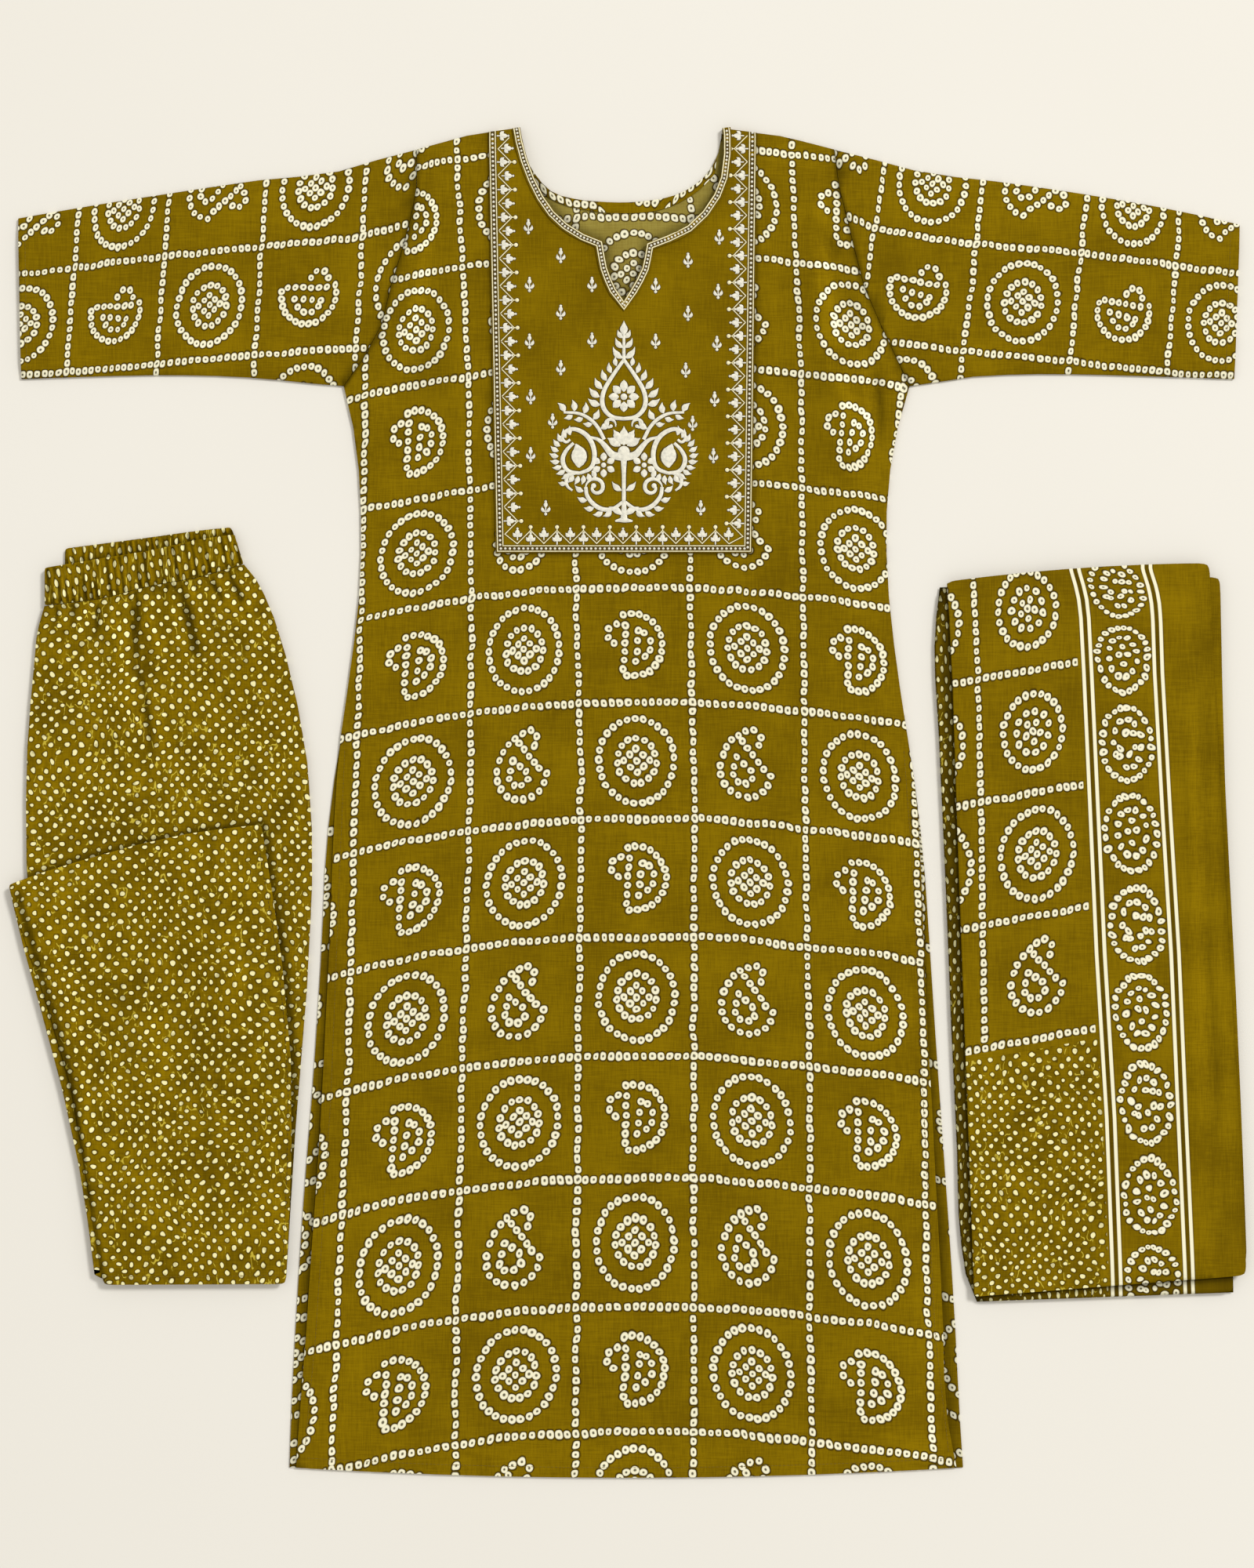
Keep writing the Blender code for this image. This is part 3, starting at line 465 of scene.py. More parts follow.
def shawl_dyed(squeeze=AS_IT_IS):
    """The dupatta: a bead grid, a dotted end, two pairs of stripes with ovals between, and a
    plain edge with painted sheen, soft lighter and darker streaks."""

    def dye(point, ground):
        cell = map_of(point)
        column, row, _ = cell.parts()
        across, along, _ = map_of(point, "border").parts()
        in_field = across.smooth(-3.0, -5.0)

        nearer = (column < -0.5 / LEVEL_BEADS) * (-CELL / LEVEL_BEADS)
        place = wander(cell * CELL + nearer.xy(0.0), 16.0, 2.4)
        upright = (column > 0.5) * FAR + bead_rows(place, 13, 5.9, 6.6, True)
        level = bead_rows(wander(place, 24.0, 1.6), LEVEL_BEADS, 6.6, 6.0, False)
        local = in_square(place)
        shown = (row > DOTTED_FROM + 2).choose(medallion(local), small_medallion(local))
        shown = (row < DOTTED_FROM + 1).choose(shown, hooked_paisley(local))
        outside = in_field * (row > DOTTED_FROM - 0.035) * -FAR + FAR
        field = outside + least(upright, level, shown)

        beside = across - (BORDER_WIDTH + STRIPE_PITCH) / 2
        count = along.maths("FLOOR")
        lengthwise = (along.maths("FRACT") - 0.5) * BORDER_PITCH
        drift = beside.xy(count * 31.0 + lengthwise).noise(1 / 13.0, 0.0, "Color") - HALF
        spot = beside.xy(lengthwise) + drift * 5.0
        oval = (count % 2.0).choose(ringed_oval(spot), curled_oval(spot)) * 1.09
        colour = resist_dye(ground, least(field, oval), point)

        dots = small_dots(point * squeeze, DOT_PITCH, DOT_RADIUS)
        colour = dotted_dye(colour, dots, point, (row < DOTTED_FROM - 0.085) * in_field)

        outer = (STRIPE_PITCH + STRIPE) / 2
        for pair in (across, across - BORDER_WIDTH):
            beside = abs(pair - STRIPE_PITCH / 2)
            colour = beside.smooth(outer + 1.2, outer, 0.0, 0.6).mix(colour, DYE_EDGE)
            stripe = abs(beside - STRIPE_PITCH / 2)
            colour = stripe.smooth(STRIPE / 2 + 0.15, STRIPE / 2 - 0.5).mix(colour, UNDYED)

        # painted sheen: soft lighter and darker streaks along the plain edge
        streaks = across.xy(along * 9.0).noise(1 / 13.0).smooth(0.3, 0.7, 0.93, 1.08)
        edge = across.smooth(BORDER_WIDTH + 9.0, BORDER_WIDTH + 22.0)
        return colour * edge.choose(1.0, streaks)

    return dye


# ---- Where the print's lines run, mm ----
# Each row: a height, and the x of each upright line there.
BODY_LINES = (
    (567, -225.4, -148.7, -44.8, 53.6, 141.2, 228.8),
    (370, -226.8, -137.8, -44.8, 53.6, 150.1, 240.4),
    (300, -228.0, -136.8, -44.8, 53.6, 150.6, 228.5),
    (255, -228.8, -136.1, -44.8, 53.6, 150.9, 242.5),
    (186, -230.0, -135.1, -44.8, 53.6, 151.4, 243.8),
    (-16, -236.5, -136.5, -40.1, 57.7, 153.5, 248.5),
    (-222, -241.7, -143.3, -42.8, 57.0, 157.5, 256.0),
    (-445, -251.2, -148.0, -44.8, 57.0, 156.8, 259.4),
    (-554, -256.0, -149.4, -44.8, 57.0, 159.6, 264.1),
)
# y of the level lines at the middle of the front, and the count of the topmost
BODY_ROWS = (661.7, 568, 474.3, 379.2, 280.1, 186.4, 87.3, -13.9, -115.8, -219, -324.2, -435.6,
             -543.5, -651.5)
ROW_AT_TOP = 5.0
BODY_MIDDLE, HALF_BODY = -0.7, 234.0
BODY_BOW = 28.5  # how far the level lines droop at the side seams
# how far they droop on the left side, by x
LEFT_DROOP = ((0, 0), (67, 0), (94.4, 1.8), (154, 8.4), (225, 16.5), (255.6, 22.5), (300, 31))
# The dupatta: x of the field's upright bead line and of each pair of stripes
SHAWL_LINES = (
    (-424.7, 313.0, 419.3, 482.2), (-271.9, 309.9, 413.5, 475.3), (-130.0, 306.8, 404.7, 469.2),
    (-8.5, 305.1, 399.3, 461.7), (112.4, 302.2, 393.8, 454.9), (160.0, 299.9, 391.2, 453.3),
    (176.0, 299.1, 389.3, 451.9), (188.0, 298.4, 386.6, 449.1), (202.0, 297.5, 382.6, 444.7),
)
SHAWL_RISE = 0.18  # how steeply the bead rows climb towards the stripes
SHAWL_FIRST_ROW, SHAWL_ROW = 106.7, 106.0
OVAL_MIDDLES = (245, 184.3, 128.7, 49.9, -24.1, -108.3, -178.2, -259, -341.2, -412.5, -488.5)
FACING_ROW = ((-90, 546), (-81, 538), (-65, 525.2), (-50, 519), (-30, 518.2), (-15, 505),
              (25, 505), (43.8, 525), (60, 537), (75.8, 550), (85, 559))
BACK_SQUARE = 99.5  # a print square of the back and of the facing
# Each sleeve: x of its upright lines at one height, the count of its first square, the lines'
# lean by x, and its two level lines
SLEEVES = {
    "right": ((-565, -478.7, -401.6, -317.8, -231.1), -3.0, ((-520, 0.090), (-231, 0.057)),
              ((-525.5, 456.6), (-400.6, 473.6), (-317.1, 481.1), (-228.8, 489.9),
               (-184.7, 504.2)),
              ((-523.5, 369.7), (-486.8, 371.7), (-409.4, 379.2), (-324.6, 387.3),
               (-238.3, 393.5))),
    "left": ((207.8, 298.8, 390.8, 473.7, 560), 0.0,
             ((208, 0.168), (299, 0.116), (391, 0.108), (474, 0.080)),
             ((181.7, 508.2), (211.8, 496), (300.4, 482.7), (391.4, 475.9), (473.9, 464.8),
              (528.2, 458.7)),
             ((226.4, 400.3), (289.6, 392.3), (381.6, 383.3), (466.5, 373.8), (523.5, 370))),
}
LEAN_FROM = 461.4  # height at which the sleeves' upright lines are measured


def follow(x, line):
    """y of a line of (x, y) points at x."""
    return np.interp(x, *np.transpose(line))


def lines_at(y, rows):
    """x of the upright lines at heights y."""
    heights, *lines = np.array(sorted(rows)).T
    return [np.interp(y, heights, line) for line in lines]


def across_lines(x, lines, beyond):
    """Counts lines from left to right; outside them, squares go on at the width given."""
    u = np.where(x < lines[0], (x - lines[0]) / beyond, 0.0)
    for i in range(len(lines) - 1):
        part = (x - lines[i]) / (lines[i + 1] - lines[i])
        u = np.where((x >= lines[i]) & (x < lines[i + 1]), i + part, u)
    return np.where(x >= lines[-1], len(lines) - 1 + (x - lines[-1]) / beyond, u)


def droop(x):
    """How far the body's level lines droop towards the side seams."""
    return BODY_BOW * ((x - BODY_MIDDLE) / HALF_BODY) ** 2


def body_print(x, y):
    """The kameez front's print squares at plan points."""
    level = y + np.where(x < 0, droop(x), follow(x, LEFT_DROOP))
    v = np.interp(-level, -np.array(BODY_ROWS), ROW_AT_TOP - np.arange(len(BODY_ROWS)))
    return across_lines(x, lines_at(y, BODY_LINES), CELL), v


def back_print(x, y):
    """The kameez back, cut with its rows half a square off the front's."""
    return (x + 44.8) / BACK_SQUARE + 1.0, (y + droop(x) - 507.5) / BACK_SQUARE


def facing_print(x, y):
    """The facing, cut on a curve, so that its one bead row follows the neck."""
    return (x + 30) / BACK_SQUARE, (y - follow(x, FACING_ROW)) / BACK_SQUARE


def sleeve_print(side):
    """A sleeve's print squares, between its two level lines."""
    uprights, first, lean, upper, lower = SLEEVES[side]

    def lay_out(x, y):
        x = x - follow(x, lean) * (y - LEAN_FROM)
        top = follow(x, upper)
        return across_lines(x, uprights, 85) + first, (y - top) / (top - follow(x, lower))

    return lay_out


def shawl_print(x, y):
    """The dupatta's field, whose bead rows climb towards the stripes."""
    beads, first, _ = lines_at(y, SHAWL_LINES)
    level = y - SHAWL_RISE * (x - beads)
    return (x - beads) / (first - beads), (level - SHAWL_FIRST_ROW) / SHAWL_ROW


def edge_print(x, y):
    """The edges of the dupatta's folded layers, which all lie in the dotted end."""
    u, v = shawl_print(x, y)
    return u, v - 9.0


def shawl_border(x, y):
    """How far right of the first stripe, and the count of ovals along the border."""
    _, first, second = lines_at(y, SHAWL_LINES)
    across = np.where(x > first, (x - first) / (second - first) * BORDER_WIDTH, x - first)
    across = np.where(x > second, BORDER_WIDTH + x - second, across)
    return across, np.interp(-y, -np.array(OVAL_MIDDLES), 0.5 - np.arange(len(OVAL_MIDDLES)))


# ---- Shells ----
COARSE = 3.0  # how much wider apart the points lie where no one sees them
CREASED, DEEPLY_CREASED = 0.0002, 0.0004  # depths past which the points lie closer
SAME_POINT = 2e-6
JUST_ABOVE = 2e-5
TURNED_UP, BROAD, LEVEL = 0.2, 0.85, 0.9  # how far up a face's normal points
NECK_FROM = 0.40  # y above which the back's wrong side shows, inside the neck
TAPER = 0.6  # less makes a crease's ends blunter
UPPER_WALL = 0.0014  # how deep under the top face a crease moves the cloth
CREST = 0.5  # height of the ridge beside a gather, for each unit of its depth
CREST_WIDTH, CREST_AWAY = 0.75, 2.4  # in gather widths, and in its own
SPREAD = 0.4  # how much wider a gather is at its end than at the seam
GATHER_PITCH, GATHER_WIDTH = (0.0042, 0.0078), (0.0011, 0.0021)
GATHER_LEAN = 0.16  # sideways run of a gather for each unit up, square to the sloping waist
EASE = 0.6  # share of its neighbours' height that a point takes in each round
UP, DOWN = Vector((0, 0, 1)), Vector((0, 0, -1))
ABOVE = 0.1  # a height above the whole suit


def beside(x, y, x0, y0, x1, y1):
    """Share of the way from one point to another, and how far to the left of that way."""
    dx, dy = x1 - x0, y1 - y0
    length = math.hypot(dx, dy)
    return ((x - x0) * dx + (y - y0) * dy) / length ** 2, ((y - y0) * dx - (x - x0) * dy) / length


def creases(rows):
    """Height of soft ridges and troughs at plan points. Each row is one crease in mm: its ends, how
    far its middle bows to the left of its run, its half width, and its height, negative for a
    trough."""

    def rise(x, y):
        height = np.zeros_like(x)
        for *ends, bow, width, tall in np.array(rows) / MM:
            along, aside = beside(x, y, *ends)
            inside = np.clip(along, 0, 1)
            aside = aside - bow * 4 * inside * (1 - inside)
            taper = np.sin(np.pi * inside) ** TAPER * ((along > 0) & (along < 1))
            height += tall * taper * np.exp(-((aside / width) ** 2))
        return height

    return rise


def gathers(seam, seed, length, depth):
    """Uneven gathers across a seam, drawn in by its elastic: how long and how deep they are, in m
    from least to most."""
    pick = np.random.default_rng(seed)
    seam = np.array(seam) / MM
    starts = seam[0, 0] + np.cumsum(pick.uniform(*GATHER_PITCH, 80))
    starts = starts[starts < seam[-1, 0]]
    sizes = [pick.uniform(*span, len(starts)) for span in (GATHER_WIDTH, length, depth)]

    def rise(x, y):
        up = y - follow(x, seam)
        height = np.zeros_like(x)
        for start, width, far, deep in zip(starts, *sizes):
            fall = np.clip(1 - np.abs(up) / far, 0, 1)
            aside = (x + GATHER_LEAN * up - start) / (width * (1 + SPREAD - SPREAD * fall))
            height -= deep * fall * np.exp(-(aside ** 2))
            crest = np.exp(-((aside / CREST_WIDTH - CREST_AWAY) ** 2))
            height += CREST * deep * fall * crest
        return height

    return rise


def near_line(line, reach, depth):
    """Painted shadow close to a line in mm where an upper layer's edge lies along it, as dark as a
    trough's; a negative depth paints a highlight instead.
    """
    line = np.array(line) / MM

    def shade(x, y):
        nearest = np.full(x.shape, np.inf)
        for (x0, y0), (x1, y1) in zip(line, line[1:]):
            share = np.clip(beside(x, y, x0, y0, x1, y1)[0], 0, 1)
            nearest = np.minimum(nearest, np.hypot(x - x0 - share * (x1 - x0),
                                                   y - y0 - share * (y1 - y0)))
        return -depth * np.exp(-((nearest * MM / reach) ** 2))

    return shade


def smoothed(height, pairs, count, held, rounds):
    """Heights eased towards their neighbours', except where held."""
    for _ in range(rounds):
        near = np.bincount(pairs[:, 0], height[pairs[:, 1]], len(height))
        near += np.bincount(pairs[:, 1], height[pairs[:, 0]], len(height))
        height = np.where(held, height, (1 - EASE) * height + EASE * near / count)
    return height


def rounded(place, pairs, rim, rounds):
    """Plan places with the outline's corners rounded, as cloth's are."""
    along = pairs[rim[pairs].all(1)]
    count = np.maximum(np.bincount(along.ravel(), minlength=len(place)), 1)[:, None]
    for _ in range(rounds):
        near = np.zeros((len(place), 2))
        np.add.at(near, along[:, 0], place[along[:, 1], :2])
        np.add.at(near, along[:, 1], place[along[:, 0], :2])
        place[rim, :2] = (place[rim, :2] + (near / count)[rim]) / 2
    return place


def welded(node):
    """A copy of a cut piece in whole faces, those that show marked, and what rays meet of it."""
    form = bmesh.new()
    form.from_mesh(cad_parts[node].data)
    bmesh.ops.remove_doubles(form, verts=form.verts, dist=SAME_POINT)
    bmesh.ops.join_triangles(form, faces=form.faces, angle_face_threshold=0.3,
                             angle_shape_threshold=1.0)
    form.normal_update()
    seen = form.faces.layers.int.new("seen")
    whole = BVHTree.FromBMesh(form)
    for face in form.faces:
        if face.normal.z > TURNED_UP:
            above = face.calc_center_median() + Vector((0, 0, JUST_ABOVE))
            face[seen] = int(whole.ray_cast(above, UP)[0] is None)
    return form, seen, whole


def fine_shell(node, spacing, rise=None, fade=0.018, rounds=24, broad=30, shades=(), soften=0,
               tight=1.0):
    """A cut piece finely divided, its faces eased for so many rounds and then creased, and divided
    closer by tight where the creases are deep. How far each point lies above the broad form, which
    is eased for more rounds, is kept in mm as its fold, with each of the shades added: a painted
    shadow beside an edge, or where its depth is negative, a painted highlight."""
    form, seen, whole = welded(node)
    while True:
        edges = list(form.edges)
        length = np.array([edge.calc_length() for edge in edges])
        fine = np.array([any(face[seen] for face in edge.link_faces) for edge in edges])
        most = np.where(fine, spacing, spacing * COARSE)
        if rise is not None:
            middle = np.array([(edge.verts[0].co + edge.verts[1].co) / 2 for edge in edges])
            depth = np.abs(rise(middle[:, 0], middle[:, 1]))
            most = np.where(depth > CREASED, spacing, most)
            most = np.where((depth > DEEPLY_CREASED) & fine, spacing * tight, most)
        long = np.flatnonzero(length > most)
        if not len(long):
            break
        bmesh.ops.subdivide_edges(form, edges=[edges[i] for i in long], cuts=1,
                                  use_grid_fill=True)
    bmesh.ops.triangulate(form, faces=form.faces)
    form.normal_update()
    form.verts.index_update()
    rim = np.array([any(abs(face.normal.z) < BROAD for face in vert.link_faces)
                    for vert in form.verts])
    place = np.array([vert.co for vert in form.verts])
    pairs = np.array([[vert.index for vert in edge.verts] for edge in form.edges])
    count = np.bincount(pairs.ravel(), minlength=len(place))
    place = rounded(place, pairs, rim, soften)
    height = smoothed(place[:, 2].copy(), pairs, count, rim, rounds)
    if rise is not None:
        edge = KDTree(int(rim.sum()))
        for i in np.flatnonzero(rim):
            edge.insert((place[i, 0], place[i, 1], 0), int(i))
        edge.balance()
        away = np.array([edge.find((x, y, 0))[2] for x, y in place[:, :2]])
        share = np.clip(away / fade, 0, 1)
        tops = [whole.ray_cast(Vector((x, y, ABOVE)), DOWN)[0] for x, y in place[:, :2]]
        tops = np.array([top.z if top else 0.0 for top in tops])
        share = share * share * (3 - 2 * share) * (tops - place[:, 2] < UPPER_WALL)
        height += rise(place[:, 0], place[:, 1]) * share
    fold = (height - smoothed(height.copy(), pairs, count, rim, broad)) * MM
    for shade in shades:
        fold += shade(place[:, 0], place[:, 1])
    kept = form.verts.layers.float.new("fold")
    for vert, (x, y, _), z, value in zip(form.verts, place, height, fold):
        vert.co = (x, y, z)
        vert[kept] = value
    return form


def stand(name, form, materials):
    """The finished form as an object that rides with the suit."""
    mesh = bpy.data.meshes.new(name)
    form.to_mesh(mesh)
    form.free()
    for material in materials:
        mesh.materials.append(material)
    mesh.polygons.foreach_set("use_smooth", [True] * len(mesh.polygons))
    piece = bpy.data.objects.new(name, mesh)
    scene.collection.objects.link(piece)
    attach(piece, "root")
    return piece


def dressed(node, material, name=None, inner=None, maps=None, **settings):
    """A cut piece in its cloth, its print maps laid out from above. The inner material is on what
    shows of the wrong side, inside the neck."""
    form = fine_shell(node, **settings)
    if inner:
        form.normal_update()
        for face in form.faces:
            in_neck = face.normal.z > LEVEL and face.calc_center_median().y > NECK_FROM
            face.material_index = int(in_neck)
    piece = stand(name or node + "_cloth", form, [material, inner] if inner else [material])
    mesh = piece.data
    place = np.array([vert.co for vert in mesh.vertices]) * MM
    corner = [loop.vertex_index for loop in mesh.loops]
    for map_name, laid_out in (maps or {}).items():
        u, v = laid_out(place[:, 0], place[:, 1])
        layer = mesh.uv_layers.new(name=map_name)
        layer.data.foreach_set("uv", np.stack((u, v), 1)[corner].ravel())
    mesh.set_sharp_from_angle(angle=math.radians(40))
    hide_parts(node)
    return piece


# ---- Room ----
def stand_in_room(name, data, place):
    made = bpy.data.objects.new(name, data)
    made.location = place
    scene.collection.objects.link(made)
    return made


# Straight above the suit, at the height from which a long lens takes in the whole of it
field, distance = 1.358, 2.8
lens = bpy.data.cameras.new("camera")
lens.lens = lens.sensor_width * distance / field
lens.clip_end = 50
scene.camera = stand_in_room("camera", lens, (-0.0007, 0.0166, distance))

KEY_PLACE = Vector((7.2, 6.6, 10.6))
lamp = bpy.data.lights.new("key", "AREA")
lamp.shape = "DISK"
lamp.size = 3.4
lamp.energy = 1170
key = stand_in_room("key", lamp, KEY_PLACE)
key.rotation_euler = (-KEY_PLACE).to_track_quat("-Z", "Y").to_euler()

form = bmesh.new()
bmesh.ops.create_circle(form, cap_ends=True, segments=96, radius=14)
sweep = bpy.data.meshes.new("floor")
form.to_mesh(sweep)
form.free()
pale_floor, shader, place = new_material("pale_floor", 0.95, specular=0.1)
shade = place.noise(2.0, 2.0).mix((0.80, 0.765, 0.69, 1), (0.83, 0.80, 0.73, 1))
shade.tree.links.new(shade.socket, shader["Base Color"])
sweep.materials.append(pale_floor)
stand_in_room("floor", sweep, (0, 0, -0.0004))

# The world lights the suit a little brighter than the backdrop looks.
world = bpy.data.worlds.new("studio")
world.use_nodes = True
studio = world.node_tree
light = studio.nodes["Background"]
light.inputs["Color"].default_value = (1.0, 0.985, 0.95, 1)
light.inputs["Strength"].default_value = 0.68
backdrop = add_node(studio, "ShaderNodeBackground", {"Color": (0.86, 0.83, 0.76, 1)})
looked_at = add_node(studio, "ShaderNodeLightPath", output="Is Camera Ray")
lit_by = Wire(light.outputs["Background"])
chosen = add_node(studio, "ShaderNodeMixShader", {0: looked_at, 1: lit_by, 2: backdrop})
studio.links.new(chosen.socket, studio.nodes["World Output"].inputs["Surface"])
scene.world = world
scene.view_settings.view_transform = "Standard"

# ---- Kameez ----
BODY_CREASES = creases((
    (166, 540, 205, 300, -12, 10, 1.6),
    (190, 460, 228, 240, 10, 8, -1.0),
    (-170, 530, -215, 330, 10, 10, 1.0),
    (-150, 500, -140, 260, 0, 9, 0.6),
    (128, 520, 125, 300, 0, 9, 0.6),
    (215, 376, 217, 300, 1, 7.5, -0.6),
    (206, 390, 208.5, 320, 0, 7, 0.6),
    (150, 505, 185, 472, 2, 7, -0.9),
))
# Where one layer's edge lies along another's cloth, mm; painted shadow lies beside these lines
NECKLINE = (
    (-93.2, 584.3), (-91.0, 572.4), (-86.6, 556.0), (-80.3, 539.5), (-72.9, 524.7), (-63.8, 511.6),
    (-52.3, 500.8), (-38.0, 492.0), (-21.9, 485.5), (-19.9, 474.0), (-17.7, 462.7), (-14.2, 453.2),
    (-10.2, 444.4), (-3.4, 433.9), (2.4, 443.9), (7.6, 453.0), (12.2, 462.7), (14.4, 473.0),
    (16.3, 483.8), (34.5, 490.9), (51.3, 499.1), (64.5, 511.6), (74.4, 526.3), (80.1, 541.1),
    (82.6, 560.9), (82.6, 577.5), (81.8, 583.6),
)
SLITS = (
    ((-287.2, -575.1), (-265, -255.1), (-249.2, 51)),
    ((243.1, 51), (264, -255.1), (284.5, -575.1)),
)
ARMHOLES = {
    "right": ((-245.8, 360.9), (-216.6, 404.3), (-204.4, 448.5), (-189.4, 498.7), (-182.7, 532.7),
              (-182.7, 565.6)),
    "left": ((243.8, 360.9), (223.1, 404.3), (203.7, 448.5), (191.5, 498.7), (182.7, 532.7),
             (178.6, 565.6)),
}
YOKE_CORNERS = ((-120.4, 582.0), (-113.6, 216.8), (106.8, 216.8), (111.0, 582.0))
SEAM_SHADE = (3.0, 0.9)  # reach of the shade along a seam, and how dark it is

kameez_print = cotton("kameez_tie_dye", grid_dyed())
inner_print = cotton("kameez_wrong_side", grid_dyed(), INNER_DEEP, INNER_LIGHT)
plain_olive = cotton("plain_olive_cotton", plain)
# painted shadow inside the neck, beside the front's neckline
under_neck = near_line(NECKLINE, 6, 0.8)

# the front: painted shade along the armhole seams and beside the yoke's edge
front = dressed(
    "kameez_front", kameez_print, maps={"print": body_print}, spacing=0.0055, rise=BODY_CREASES,
    shades=(*[near_line(armhole, *SEAM_SHADE) for armhole in ARMHOLES.values()],
            near_line(YOKE_CORNERS, 4, 0.7)))
# the yoke: painted shade close inside the neckline
yoke = dressed("kameez_yoke", plain_olive, spacing=0.0045, rise=BODY_CREASES,
               shades=(near_line(NECKLINE, 11, 0.35),))
# the back: painted shadow beside the front's slit edges and inside the neck
back = dressed("kameez_back", kameez_print, inner=inner_print, maps={"print": back_print},
               spacing=0.010, shades=(*[near_line(slit, 6, 1.0) for slit in SLITS], under_neck))
sleeves = [
    dressed(f"kameez_{side}_sleeve", cotton(f"{side}_sleeve_tie_dye", grid_dyed(math.radians(90))),
            maps={"print": sleeve_print(side)}, spacing=0.0060,
            shades=(near_line(armhole, *SEAM_SHADE),))
    for side, armhole in ARMHOLES.items()
]
trim = dressed("kameez_neck_trim", plain_olive, "neck_trim_cloth", spacing=0.004, rounds=4)
# the facing: painted shadow inside the neck
facing = dressed("kameez_back_neck_facing", kameez_print, "neck_facing_cloth",
                 maps={"print": facing_print}, spacing=0.004, rounds=4, shades=(under_neck,))

# ---- Embroidery ----
# Stitches are drawn in mm on the flat yoke and then laid onto its cloth.
STITCH_SINK = 0.15  # how far a stitch's edge lies in the cloth
STITCH_SHADE_WIDTH = 0.55  # width of the painted shade round each stitch, a flat dark band
FLAT_DARK_RISE = 0.04
SHARPEST = 0.75  # how far a corner may be mitred, as the cosine of half its turn
DOMED = ((-1, 0), (-0.62, 0.8), (0, 1), (0.62, 0.8), (1, 0))
LEAF_STEPS = 7


def sideways(path):
    """Offsets of one to a path's left, longer at its turns so that its edges stay parallel."""
    run = np.diff(np.array(path, float), axis=0)
    run /= np.maximum(np.hypot(*run.T), 1e-9)[:, None]
    before, after = np.vstack((run[:1], run)), np.vstack((run, run[-1:]))
    normal = (before + after)[:, ::-1] * (-1, 1)
    normal /= np.maximum(np.hypot(*normal.T), 1e-6)[:, None]
    across = (normal * before[:, ::-1] * (-1, 1)).sum(1)
    return normal / np.maximum(across, SHARPEST)[:, None]


def moved_aside(path, away):
    """A path moved to its left where away is above 0."""
    return np.array(path, float) + sideways(path) * away


def run_of(path):
    """How far along a path each of its points lies."""
    return np.concatenate(((0,), np.cumsum(np.hypot(*np.diff(path, axis=0).T))))


def finer(path, pitch=6.0):
    """The same path with points at most pitch apart."""
    out = []
    for (x0, y0), (x1, y1) in zip(path, path[1:]):
        count = max(1, int(math.hypot(x1 - x0, y1 - y0) / pitch))
        out += [(x0 + (x1 - x0) * i / count, y0 + (y1 - y0) * i / count) for i in range(count)]
    return out + [path[-1]]


def spots_along(path, pitch, start=0.0):
    """Evenly spaced spots along a path: x, y, and which way it runs there."""
    path = np.array(path, float)
    run = run_of(path)
    at = np.arange(start, run[-1], pitch)
    here, ahead, behind = [
        np.stack([np.interp(each, run, column) for column in path.T], 1)
        for each in (at, np.minimum(at + 0.5, run[-1]), np.maximum(at - 0.5, 0))]
    dx, dy = (ahead - behind).T
    return np.column_stack((here, np.arctan2(dy, dx)))


